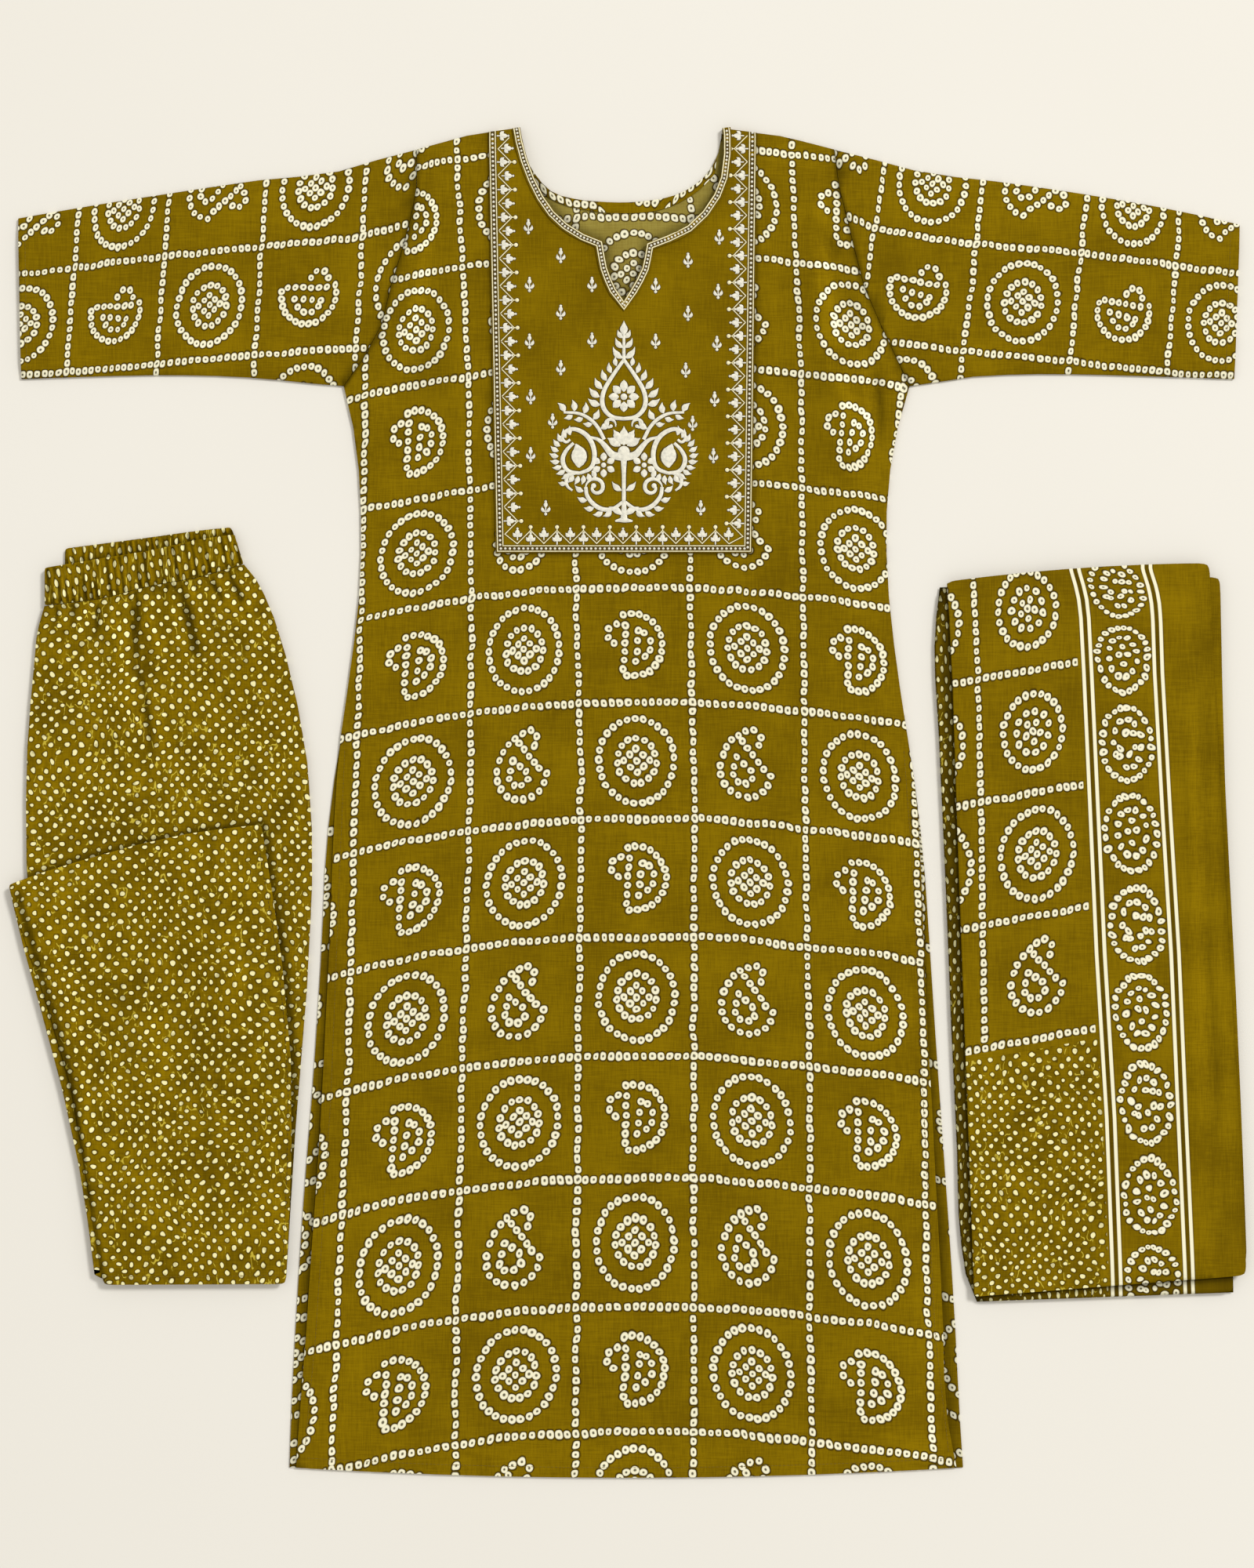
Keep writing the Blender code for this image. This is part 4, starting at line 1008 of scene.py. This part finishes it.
class Stitches:
    """Raised stitches and the painted shade round them, a flat dark band, gathered into one mesh.
    Each named list of rows is sewn by the method of that name."""

    def __init__(self, bold=1.0, **rows):
        self.bold = bold
        self.points = []
        self.faces = []
        self.is_dark_ground_and_shade = []
        for kind, sewn in rows.items():
            for row in sewn:
                getattr(self, kind)(*row)

    def band(self, path, side, widths, section, pierced):
        """Faces along a path over a section of (share of the half width, height)."""
        start, columns = len(self.points), len(section)
        for at, across, width in zip(path, side, widths):
            for share, height in section:
                self.points.append((*(at + across * share * width / 2), height))
        for i in range(len(path) - 1):
            for j in range(columns - 1):
                corner = start + columns * i + j
                self.faces.append((corner, corner + columns, corner + columns + 1, corner + 1))
                self.is_dark_ground_and_shade.append(pierced)

    def ground(self, path, width):
        """A flat run in the dark material that also paints the shade round stitches."""
        flat = ((-1, FLAT_DARK_RISE / 2), (1, FLAT_DARK_RISE / 2))
        self.band(np.array(path, float), sideways(path), [width] * len(path), flat, True)

    def strip(self, path, widths, height=0.55, edged=True):
        """A line of satin stitch along a path, as wide along it as widths say."""
        path = np.array(path, float)
        run = run_of(path)
        widths = np.interp(run / run[-1], np.linspace(0, 1, len(widths)), widths) * self.bold
        side = sideways(path)
        # painted shade: a flat dark band a little wider than the stitch, round it
        if edged:
            flat = ((-1, FLAT_DARK_RISE), (1, FLAT_DARK_RISE))
            self.band(path, side, widths + 2 * STITCH_SHADE_WIDTH, flat, True)
        domed = [(share, rise * (height + STITCH_SINK) - STITCH_SINK) for share, rise in DOMED]
        self.band(path, side, widths, domed, False)

    def dot(self, x, y, radius, height=0.6, sides=10, edged=True):
        """A round raised dot."""
        start = len(self.points)
        rings = [(radius, -STITCH_SINK), (0.62 * radius, 0.8 * height)]
        # painted shade: a flat dark ring round the dot
        if edged:
            rings = [(radius + STITCH_SHADE_WIDTH, FLAT_DARK_RISE), (0.5 * radius, FLAT_DARK_RISE), *rings]
        for reach, rise in rings:
            for turn in np.arange(sides) / sides * 2 * math.pi:
                self.points.append((x + reach * math.cos(turn), y + reach * math.sin(turn), rise))
        self.points.append((x, y, height))
        top = start + sides * (len(rings) - 2)
        for i in range(sides):
            j = (i + 1) % sides
            if edged:
                self.faces.append((start + i, start + j, start + sides + j, start + sides + i))
            self.faces.append((top + i, top + j, top + sides + j, top + sides + i))
            self.faces.append((top + sides + i, top + sides + j, top + 2 * sides))
            self.is_dark_ground_and_shade += [True, False, False] if edged else [False, False]

    def leaf(self, x, y, angle, length, width, bend=0.0, blunt=0.0):
        """A leaf or petal from its base; bend curls its tip, in degrees over its length."""
        turn = math.radians(angle)
        path = [(x, y)]
        for _ in range(LEAF_STEPS):
            x += length / LEAF_STEPS * math.cos(turn)
            y += length / LEAF_STEPS * math.sin(turn)
            turn += math.radians(bend) / LEAF_STEPS
            path.append((x, y))
        profile = (0.12, 0.62, 0.95, 1.0, 0.9 if blunt else 0.62, max(0.3, blunt), 0.06)
        self.strip(path, [width * share for share in profile])

    def fan(self, leaf, *bases):
        """The same leaf from several bases, each x, y and the way it points."""
        for x, y, angle in bases:
            self.leaf(x, y, angle, *leaf)

    def ring(self, x, y, across, tall, angles, *leaf):
        """Leaves that point outwards from an oval round x, y."""
        for angle in angles:
            turn = math.radians(angle)
            self.leaf(x + across * math.cos(turn), y + tall * math.sin(turn), angle, *leaf)

    def coil(self, x, y, radius, start, turn, width, tighten, tip):
        """A scroll that winds inwards from a start angle and ends in a dot."""
        angles = np.linspace(0, math.radians(turn), max(8, int(abs(turn) / 18)))
        reach = radius * np.linspace(1, 1 - tighten, len(angles))
        angles = angles + math.radians(start)
        path = np.stack((x + reach * np.cos(angles), y + reach * np.sin(angles)), 1)
        self.strip(path, (width * 0.35, width, width, width * 0.7))
        self.dot(*path[-1], tip)

    def curve(self, points, widths):
        """A smooth line past a few named points."""
        path = np.array(points, float)
        for _ in range(3):
            inner = np.empty((2 * len(path) - 2, 2))
            inner[0::2] = 0.75 * path[:-1] + 0.25 * path[1:]
            inner[1::2] = 0.25 * path[:-1] + 0.75 * path[1:]
            path = np.vstack((path[:1], inner, path[-1:]))
        self.strip(path, widths)

    def both_sides(self, half):
        """Adds the same stitches on both sides of the upright axis."""
        for side in (1, -1):
            start = len(self.points)
            self.points += [(side * x, y, z) for x, y, z in half.points]
            self.faces += [tuple(start + i for i in face)[::side] for face in half.faces]
            self.is_dark_ground_and_shade += half.is_dark_ground_and_shade

    def mesh(self, name, x=0.0, y=0.0):
        """The stitches as a mesh, moved to x, y."""
        made = bpy.data.meshes.new(name)
        made.from_pydata([(a + x, b + y, z) for a, b, z in self.points], [], self.faces)
        pierced = made.attributes.new("pierced", "BOOLEAN", "FACE")
        pierced.data.foreach_set("value", self.is_dark_ground_and_shade)
        made.update()
        return made


# Three plump buds on a short stem, pointing up from its foot
floret = Stitches(
    strip=[(((0, -0.4), (0, 5.0)), (1.4, 1.4))],
    leaf=[(0, 3.2, 90, 6.4, 5.2, 0, 0.6), (-0.4, 3.0, 156, 5.2, 3.9, -40, 0.4),
          (0.4, 3.0, 24, 5.2, 3.9, 40, 0.4)],
    dot=[(0, 10.2, 1.25)],
).mesh("floret")
# A scattered sprig: a round bud, two leaves that curve up and a dot at its foot
buti = Stitches(
    strip=[(((0, -5.0), (0, 3.0)), (1.3, 1.5, 1.3))],
    leaf=[(0, 0.4, 90, 5.8, 4.6, 0, 0.6), (-0.3, -3.6, 162, 6.8, 3.5, -95, 0.3),
          (0.3, -3.6, 18, 6.8, 3.5, 95, 0.3)],
    dot=[(0, 6.4, 1.5), (0, -5.8, 1.7)],
).mesh("buti")
chain_bead = Stitches(dot=[(0, 0, 1.25, 0.5, 8, False)]).mesh("chain_bead")
# One tooth of the zigzag, from valley to valley, with its dot on a stem
peak = Stitches(
    strip=[(((-11.6, -0.2), (-5.8, 5.5), (0, 11.2), (5.8, 5.5), (11.6, -0.2)), (1.0, 1.0), 0.5),
           (((0, 11.0), (0, 13.0)), (1.0, 1.0), 0.45)],
    dot=[(0, 14.2, 1.9, 0.7)],
).mesh("peak")


def hem_stitch(sunk=False):
    """One short stitch, in the thread or, sunk, in the dark material of the painted shade round
    stitches.
    """
    made = Stitches(strip=[(((-1.25, 0), (0, 0), (1.25, 0)), (0.35, 0.6, 0.35), 0.3, False)])
    made.is_dark_ground_and_shade = [sunk] * len(made.faces)
    return made.mesh("hem_stitch")


def scatter_tree():
    """Geometry Nodes: one copy of a motif on each point, turned and sized as the point says."""
    made = bpy.data.node_groups.new("Scattered stitches", "GeometryNodeTree")
    kinds = {"Points": "Geometry", "Motif": "Object", "Size": "Float", "Thread": "Material",
             "Dark ground and shade": "Material"}
    named = [made.interface.new_socket(name, in_out="INPUT", socket_type="NodeSocket" + kind)
             for name, kind in kinds.items()]
    made.interface.new_socket("Stitches", in_out="OUTPUT", socket_type="NodeSocketGeometry")
    given = made.nodes.new("NodeGroupInput").outputs
    points, motif, size, thread, cloth = [Wire(given[name]) for name in kinds]
    turn, pierced = [
        add_node(made, "GeometryNodeInputNamedAttribute", {"Name": name}, "Attribute",
                 data_type=kind)
        for name, kind in (("turn", "FLOAT_VECTOR"), ("pierced", "BOOLEAN"))]
    copy = motif.node("GeometryNodeObjectInfo", {"Object": motif}, "Geometry")
    copies = points.node("GeometryNodeInstanceOnPoints", {
        "Points": points, "Instance": copy, "Rotation": turn, "Scale": size})
    real = copies.node("GeometryNodeRealizeInstances", {"Geometry": copies})
    sewn = real.node("GeometryNodeSetMaterial", {"Geometry": real, "Material": thread})
    sewn = sewn.node("GeometryNodeSetMaterial", {
        "Geometry": sewn, "Selection": pierced, "Material": cloth})
    made.links.new(sewn.socket, made.nodes.new("NodeGroupOutput").inputs["Stitches"])
    return made, [socket.identifier for socket in named[1:]]


SCATTER, SCATTER_INPUTS = scatter_tree()


def scattered(motif_mesh, spots, threads, size=1.0):
    """The motif's copies on (x, y, turn) spots as one plain mesh in mm, still flat."""
    spots = np.array(spots, float)
    points = bpy.data.meshes.new("spots")
    points.from_pydata([(x, y, 0) for x, y, _ in spots], [], [])
    turn = points.attributes.new("turn", "FLOAT_VECTOR", "POINT")
    turn.data.foreach_set("vector", (spots * (0, 0, 1)).ravel())
    carrier, motif = [bpy.data.objects.new("spots", mesh) for mesh in (points, motif_mesh)]
    for each in (carrier, motif):
        scene.collection.objects.link(each)
    modifier = carrier.modifiers.new("scatter", "NODES")
    modifier.node_group = SCATTER
    for socket, value in zip(SCATTER_INPUTS, (motif, float(size), *threads)):
        modifier[socket] = value
    graph = bpy.context.evaluated_depsgraph_get()
    baked = bpy.data.meshes.new_from_object(carrier.evaluated_get(graph))
    for each in (carrier, motif):
        bpy.data.objects.remove(each)
    return baked


def laid_on(name, ground, threads, *meshes):
    """Joins flat stitch meshes in mm and lays them onto the cloth under them."""
    form = bmesh.new()
    for mesh in meshes:
        form.from_mesh(mesh)
    pierced = form.faces.layers.bool["pierced"]
    for face in form.faces:
        face.material_index = int(face[pierced])
    for vert in form.verts:
        x, y, rise = vert.co / MM
        under = ground.ray_cast(Vector((x, y, ABOVE)), DOWN)[0]
        if under is None:
            under = ground.find_nearest(Vector((x, y, 0.005)))[0]
            x, y = under.x, under.y
        vert.co = Vector((x, y, under.z + rise))
    return stand(name, form, threads)


def ground_of(*pieces):
    """What a ray from above meets of the pieces given."""
    points, faces = [], []
    for piece in pieces:
        start = len(points)
        points += [vert.co.copy() for vert in piece.data.vertices]
        faces += [[start + i for i in face.vertices] for face in piece.data.polygons]
    return BVHTree.FromPolygons(points, faces)


white_thread = thread("white_satin_stitch", THREAD_LIGHT, THREAD_GREY)
# one dark material for the painted shade round stitches, the dark ground under bead rows and the
# sunk stitches
dark_ground_and_painted_shade = thread("dark_ground_and_painted_shade", DARK_GROUND_AND_SHADE_LIGHT, DARK_GROUND_AND_SHADE, 0.85)
hem_thread = thread("olive_hem_thread", OLIVE_LIGHT, HEM_THREAD, 0.75)
gold_thread = thread("gold_outline_thread", GOLD_LIGHT, GOLD_DEEP)
EMBROIDERY = (white_thread, dark_ground_and_painted_shade)
OUTLINES = (gold_thread, dark_ground_and_painted_shade)
HEMS = (hem_thread, dark_ground_and_painted_shade)

# The yoke's border: two lines and a bead row in from its edge, then the zigzag
BORDER_LINES = (0.9, 5.6)
BORDER_CHAIN = 3.2
TEETH = 7.6  # where the zigzag's valleys lie


def inset(away):
    """Down the right side, along the bottom and up the left, away in from the yoke's edge."""
    (x0, y0), (x1, low), (x2, _), (x3, y3) = YOKE_CORNERS
    low, x1, x2 = low + away, x1 + away, x2 - away
    return [(x0 + away, y0), (x1, low + 4), (x1, low), (x1 + 4, low), (x2 - 4, low), (x2, low),
            (x2, low + 4), (x3 - away, y3)]


# Each row: its first and last tooth, how many, which way it runs, and how many valleys before the
# first tooth hold a floret. One stands in each tooth and in the valley after it, and one more at
# the top of the right side.
teeth, sprigs = [], [(-113.0, 577.0, -math.pi / 2)]
for first, last, count, turn, before in (
    ((-113.9 + TEETH, 243.8), (-119.8 + TEETH, 554.0), 14, -math.pi / 2, 0),
    ((107.1 - TEETH, 241.7), (110.8 - TEETH, 565.6), 15, math.pi / 2, 0),
    ((-84.0, 216.8 + TEETH), (75.7, 216.8 + TEETH), 8, 0.0, 1),
):
    step = (np.array(last) - first) / (count - 1)
    inwards = np.array((-math.sin(turn), math.cos(turn)))
    teeth += [(*(first + step * i), turn) for i in range(count)]
    sprigs += [(*(first + step * i - inwards * 0.6), turn) for i in range(count)]
    sprigs += [(*(first + step * (i + 0.5) + inwards * 3.2), turn) for i in range(-before, count)]

border = Stitches()
border.ground(finer(inset(BORDER_CHAIN)), 6.0)
# the two lines, then the zigzag across both lower corners and up to the right shoulder
for path in (*[inset(away) for away in BORDER_LINES], ((-106.4, 232.6), (-95.4, 224.0)),
             ((99.6, 230.6), (87.2, 224.0)), ((-112.2, 565.4), (-102.6, 575.4))):
    border.strip(finer(path), (1.0, 1.0), 0.5)

# Scattered sprigs down both sides and between
BUTIS = (
    (-86, 498), (-58, 473), (-85, 448), (-31, 448), (-58, 424), (-85, 399), (-31, 400), (-58, 376),
    (-84, 351), (-65, 330), (-84, 301), (-71, 255), (79, 489), (52, 469), (24, 447), (78, 442),
    (52, 423), (24, 399), (77, 397), (50, 374), (75, 349), (56, 328), (74, 300), (63, 255),
)
SPRAY_BOLD = 1.24  # how much wider than drawn the spray is stitched
# The large spray from the foot of its stem: first what lies on the stem
spray = Stitches(
    SPRAY_BOLD,
    strip=[(((-7.5, 0.6), (0, 1.8), (7.5, 0.6)), (1.4, 4.4, 1.4)),
           (((0, 1), (0, 18), (0, 40), (0, 56)), (5.6, 2.8, 2.8, 5.0)),
           (((0, 138), (0, 164)), (2.8, 2.0))],
    dot=[(0, 60.5, 5.6, 0.7, 16), (0, 108, 3.2, 0.7, 14)],
    leaf=[(0, 66, 90, 16.5, 7.4, 0, 0.35), (0, 112.3, 90, 10.2, 6.4, 0, 0.6),
          (0, 103.7, -90, 8.8, 6.2, 0, 0.6), (0, 161, 90, 12.5, 6.4)],
)
# then each side: low scrolls, a flower, a mango, a fern spray, an arm of the lotus, the rosette
# and its frame, and the crest
spray.both_sides(Stitches(
    SPRAY_BOLD,
    curve=[
        (((1.2, 17), (10, 10), (22, 11), (32, 21), (33, 30)), (2.4, 3.6, 2.8)),
        (((44.5, 27), (50, 31), (49.5, 40), (42, 42)), (1.6, 3.0, 2.4)),
        (((38, 42), (27, 46), (24.5, 60), (30, 74), (42, 81), (51, 78.5), (54, 72), (50, 68),
          (46.5, 71)), (2.6, 3.6, 3.8, 3.0, 2.0)),
        (((38, 42), (49, 43), (54, 53), (50, 62), (43.5, 68)), (2.6, 3.6, 2.4)),
        (((17, 71), (24, 85), (37, 94), (52, 94.5)), (2.8, 2.8, 1.8)),
        (((0, 56), (10, 57), (15, 64), (21, 71), (29, 73)), (6.5, 5.4, 3.6, 1.8)),
        (((0, 89), (11, 90), (19, 99), (18.5, 112), (10, 126), (0, 140)), (2.8, 3.6, 3.2, 2.6)),
    ],
    coil=[(24.2, 29.5, 9.0, 0, 400, 3.0, 0.72, 2.5), (12.4, 84.0, 5.6, 200, -330, 2.4, 0.66, 1.8)],
    dot=[(17.5, 49, 2.5)],
    ring=[
        (17.5, 49, 3.6, 3.6, range(30, 390, 60), 7.2, 5.2, 0, 0.6),
        (39, 58, 17.6, 18.4, range(-130, 70, 14), 8.4, 4.3, 48),
        (0, 64, 3.4, 3.4, (60,), 14.5, 6.6, 0, 0.35),
        (0, 64, 3.4, 3.4, (30,), 13.0, 6.6, 0, 0.35),
        (0, 108, 4.3, 4.3, (45, 0, -45), 8.8, 6.2, 0, 0.6),
    ],
    fan=[
        ((9.0, 4.6, 55), (11, 9.6, -58), (18.5, 8.6, -40), (26, 12.2, -24), (32, 18.6, -6),
         (35, 26.5, 10)),
        ((10.0, 5.2, -46), (20, 80.5, 158), (26.5, 88.5, 138), (34.5, 93.6, 118), (43, 95.6, 100),
         (51, 95, 70)),
        ((8.0, 4.4, 44), (27.5, 84.5, -16), (35.5, 89.6, -28), (44.5, 92.2, -40)),
        ((12.0, 5.52, 44), (20.6, 101, 8), (21, 108, 22)),
    ],
    leaf=[
        (2.2, 6.0, 50, 13.0, 5.4, -42), (2.0, 27.0, 24, 11.5, 4.8, 44),
        (50, 33, -10, 7.0, 4.0, 40), (39, 46.8, 98, 21.0, 12.5, -36, 0.45),
        (18.6, 115, 36, 11.5, 5.29, 44), (14.8, 122, 48, 10.5, 4.83, 44),
        (10.8, 128.5, 58, 9.5, 4.37, 44), (6.4, 134.6, 66, 8.5, 3.91, 44),
        (0.9, 141.5, 22, 13.5, 5.0, 62), (0.8, 150.5, 26, 11.0, 4.5, 62),
        (0.8, 159.0, 30, 8.5, 4.0, 62),
    ],
))

yoke_ground = ground_of(yoke)
border_lines = laid_on("yoke_border_outlines", yoke_ground, OUTLINES, border.mesh("border"),
                       scattered(peak, teeth, OUTLINES))
border_piece = laid_on(
    "yoke_border_embroidery", yoke_ground, EMBROIDERY,
    scattered(chain_bead, spots_along(inset(BORDER_CHAIN), 3.9), EMBROIDERY),
    scattered(floret, sprigs, EMBROIDERY, 0.94))
spray_piece = laid_on(
    "yoke_spray_embroidery", yoke_ground, EMBROIDERY, spray.mesh("spray", -3.4, 243.2),
    scattered(buti, [(x, y, 0) for x, y in BUTIS], EMBROIDERY, 0.88))

# Neck trim: two cords with a row of small beads over a dark ground, mm out from the neckline
NECK_CORDS = (-1.1, -5.5)
neck_chain = moved_aside(NECKLINE, -3.3)
neck_cords = Stitches()
neck_cords.ground(finer(neck_chain, 3.0), 6.0)
for away in NECK_CORDS:
    neck_cords.strip(finer(moved_aside(NECKLINE, away), 3.0), (1.15, 1.15), 0.6)
neck_ground = ground_of(trim, yoke)
neck_lines = laid_on("neck_trim_cords", neck_ground, OUTLINES, neck_cords.mesh("cords"))
neck_piece = laid_on("neck_trim_beads", neck_ground, EMBROIDERY,
                     scattered(chain_bead, spots_along(neck_chain, 3.2, 1.4), EMBROIDERY, 0.95))

# Seams and hems: rows of small stitches in the cloth's own colour
HEM_PITCH = 3.4
hem_x = np.linspace(-276, 276, 24)
# the hem, 9 mm up from an edge that bows down at its middle, both side slits and both cuffs
STITCH_ROWS = (
    np.stack((hem_x, -566.1 - 8.6 * (1 - (hem_x / 286.0) ** 2)), 1),
    ((-279.5, -560), (-270, -459), (-257, -255), (-249, -51), (-245, 45)),
    ((277.5, -560), (266, -459), (255.5, -255), (246, -51), (239, 45)),
    ((-520.0, 374), (-521.5, 498)),
    ((517.5, 374), (521.5, 494)),
)
hem_spots = np.vstack([spots_along(path, HEM_PITCH) for path in STITCH_ROWS])
hem_piece = laid_on("kameez_hem_stitches", ground_of(front, *sleeves), (hem_thread, hem_thread),
                    scattered(hem_stitch(), hem_spots, (hem_thread, hem_thread)))

# ---- Salwar ----
WAIST_TOP = ((-504.5, 203.4), (-461, 210.8), (-414.9, 218.3), (-367.3, 228.5), (-340, 232.5))
WAIST_SEAM = ((-504.5, 170.8), (-450.2, 178.2), (-418.9, 186.4), (-367.3, 196.6), (-332, 206.8))
CUFF_FOLD = ((-535.1, -70), (-501.8, -58.1), (-461, -45.8), (-412.8, -32.3), (-367.3, -23.4),
             (-316.4, -18))
CUFF_INNER = ((-315.5, -26), (-300, -127), (-293.3, -189.8), (-289.9, -248.2), (-290.6, -307.2),
              (-295.4, -415.2))
CUFF_OUTER = ((-526.5, -80), (-510, -138), (-490.9, -204), (-478.7, -255), (-463.8, -350),
              (-452.9, -415.9))
LEG_CREASES = creases((
    (-425.9, 178, -426, 108, -0.8, 5, -2.6),
    (-426.2, 128, -411, 40, 1.5, 5.2, -2.1),
    (-417.7, 179, -400.3, 86, 1, 8, 1.8),
    (-388, 188, -372, 126, 1.5, 5.2, -2.4),
    (-375.3, 138, -339.2, 56, 2, 8.5, -1.3),
    (-378, 186, -356, 90, 2, 7, 1.5),
    (-362.4, 196, -349, 172, 0, 3.2, -1.9),
    (-354, 196, -340, 164, 0, 4.2, 1.4),
    (-345.1, 199.5, -332, 173, 0, 3.4, -2.2),
    (-457.7, 176, -459, 150, 0, 2.8, -1.4),
    (-469, 174, -473, 135, 0, 5, 0.9),
    (-478.3, 172, -482, 150, 0, 2.7, -1),
    (-490.2, 172, -498.5, 149, 0, 3, -1.1),
    (-448, 177, -450, 158, 0, 2.4, -0.8),
    (-438, 178, -440, 152, 0, 2.6, -0.9),
    (-401.4, 185, -400, 168, 0, 2.6, -1.1),
    (-374, 190, -370, 174, 0, 2.4, -0.9),
    (-339.7, 132, -347, 70, 3, 9, -1),
    (-313.7, 124, -304, 45, 2, 8, -0.9),
    (-326, 140, -321, 20, 4, 9, 1),
    (-482, 100, -505, 10, 3, 11, 0.9),
    (-456, 60, -470, -25, 2, 9, -0.7),
    (-380, 60, -372, -5, 2, 10, 0.8),
))
CUFF_CREASES = creases((
    (-498, -90, -462, -340, 5, 11, 1),
    (-450, -65, -430, -230, -3, 12, -0.7),
    (-412, -50, -400, -310, -4, 13, 0.8),
    (-345, -40, -325, -230, -5, 11, 0.9),
    (-330, -220, -326, -395, 3, 10, -0.6),
    (-378, -190, -356, -390, 4, 10, -0.7),
))
leg_gathers = gathers(WAIST_SEAM, 3, (0.006, 0.030), (0.0003, 0.0011))
band_gathers = gathers(WAIST_SEAM, 5, (0.050, 0.110), (0.0008, 0.0019))
under_gathers = gathers(WAIST_TOP, 8, (0.050, 0.110), (0.0004, 0.0011))
salwar_print = cotton("salwar_small_dots", dotted())
cuff_print = cotton("folded_leg_small_dots", dotted(turn=math.radians(8), pitch=8.5))
# on the band the painted crumple shade is drawn out into streaks along the gathers
band_print = cotton("waistband_small_dots",
                    dotted((1.35, 0.70, 1.0), math.radians(-9), streaks=(2.2, 0.35, 1.0)))
# painted shadow on the leg beside the cuff's fold and inner edge, and along the waist seam
leg_shades = (near_line(CUFF_FOLD, 4.5, 0.9), near_line(CUFF_INNER, 6.5, 1.1),
             near_line(WAIST_SEAM, 4, 0.45))
# painted shadow beside the folded leg's outer edge, and painted highlights along its fold and inner
# edge
cuff_shades = (near_line(CUFF_OUTER, 4, 1.1), near_line(CUFF_FOLD, 2.5, -0.5),
              near_line(CUFF_INNER, 2.2, -0.4))
GATHERED = dict(fade=0.0022, rounds=0, broad=40, soften=10)
salwar = [dressed(node, material, **settings) for node, material, settings in (
    ("salwar_under_leg", salwar_print,
     dict(spacing=0.0045, fade=0.010, rounds=4, shades=leg_shades, soften=4)),
    ("salwar_leg", salwar_print,
     dict(spacing=0.0034, rise=lambda x, y: LEG_CREASES(x, y) + leg_gathers(x, y), fade=0.003,
          rounds=2, shades=leg_shades, tight=0.5)),
    ("salwar_folded_lower_leg", cuff_print,
     dict(spacing=0.0045, rise=CUFF_CREASES, fade=0.010, rounds=8, shades=cuff_shades, soften=3)),
    # painted shade along the waist seam, and below the under band's top edge
    ("salwar_waistband", band_print,
     dict(spacing=0.0013, rise=band_gathers, shades=(near_line(WAIST_SEAM, 3, 0.45),), **GATHERED)),
    ("salwar_under_waistband", band_print,
     dict(spacing=0.0015, rise=under_gathers, shades=(near_line(WAIST_TOP, 5, 0.8),), **GATHERED)),
)]
under_leg, leg, cuff, band, under_band = salwar

# The seam down the folded leg's inner edge and the stitching of its hem
CUFF_SEAM = ((-318.3, -40), (-303.3, -127), (-296.6, -189.8), (-293.3, -248.2), (-294.0, -307.2),
             (-298.2, -407))
CUFF_HEM = ((-449, -408.5), (-377, -409), (-302, -407.5))
salwar_stitches = laid_on(
    "salwar_stitches", ground_of(cuff), HEMS,
    scattered(hem_stitch(True), spots_along(CUFF_SEAM, 4.2), HEMS),
    scattered(hem_stitch(), spots_along(CUFF_HEM, HEM_PITCH), HEMS))

# ---- Dupatta ----
SHAWL_CREASES = creases((
    (500, 190, 516, -400, -4, 8, -0.5),
    (488, 190, 501, -400, -3, 7, 0.7),
    (506, 150, 522, -380, -3, 5, 0.5),
    (350, 180, 356, -100, 4, 14, 0.7),
    (430, 100, 440, -350, -3, 13, 0.6),
))
SHAWL_FREE_EDGE = ((502.5, 207.4), (505, 136.8), (509, 64.2), (513.2, -8.5), (518.1, -105.6),
                   (528.9, -288.9), (534.4, -407.7))
SHAWL_FOLD = ((298.8, -426.1), (294, -288.9), (287.2, -105.6), (283.8, -8.5), (281.1, 64.2),
              (279.1, 136.8), (275, 191.5))
EDGE_ON = (1.6, 0.75, 1.0)  # how the print is drawn together on the stacked folds, seen edge on
SHAWL = dict(spacing=0.0042, fade=0.006, rounds=8, soften=4)
shawl_print_cloth = cotton("dupatta_tie_dye", shawl_dyed(), roughness=0.66)
# the stacked folds are the same cloth, darker in painted shade
shaded_stack_cloth = cotton("dupatta_stacked_folds_painted_shade", shawl_dyed(EDGE_ON), SHADED_STACK_DEEP, SHADED_STACK_LIGHT, 0.66)
# painted shadow on the stacked folds beside the top layers' free edge, along the bottom and along
# the fold
shawl_under = dressed(
    "dupatta_under_layers", shaded_stack_cloth, maps={"print": edge_print, "border": shawl_border},
    shades=(near_line(SHAWL_FREE_EDGE + SHAWL_FOLD[:1], 5.5, 1.1), near_line(SHAWL_FOLD, 9, 1.2)),
    **SHAWL)
# painted shade beside the top layers' own free edge
shawl_top = dressed(
    "dupatta_top_layers", shawl_print_cloth, maps={"print": shawl_print, "border": shawl_border},
    rise=SHAWL_CREASES, shades=(near_line(SHAWL_FREE_EDGE, 6, 0.35),), **SHAWL)
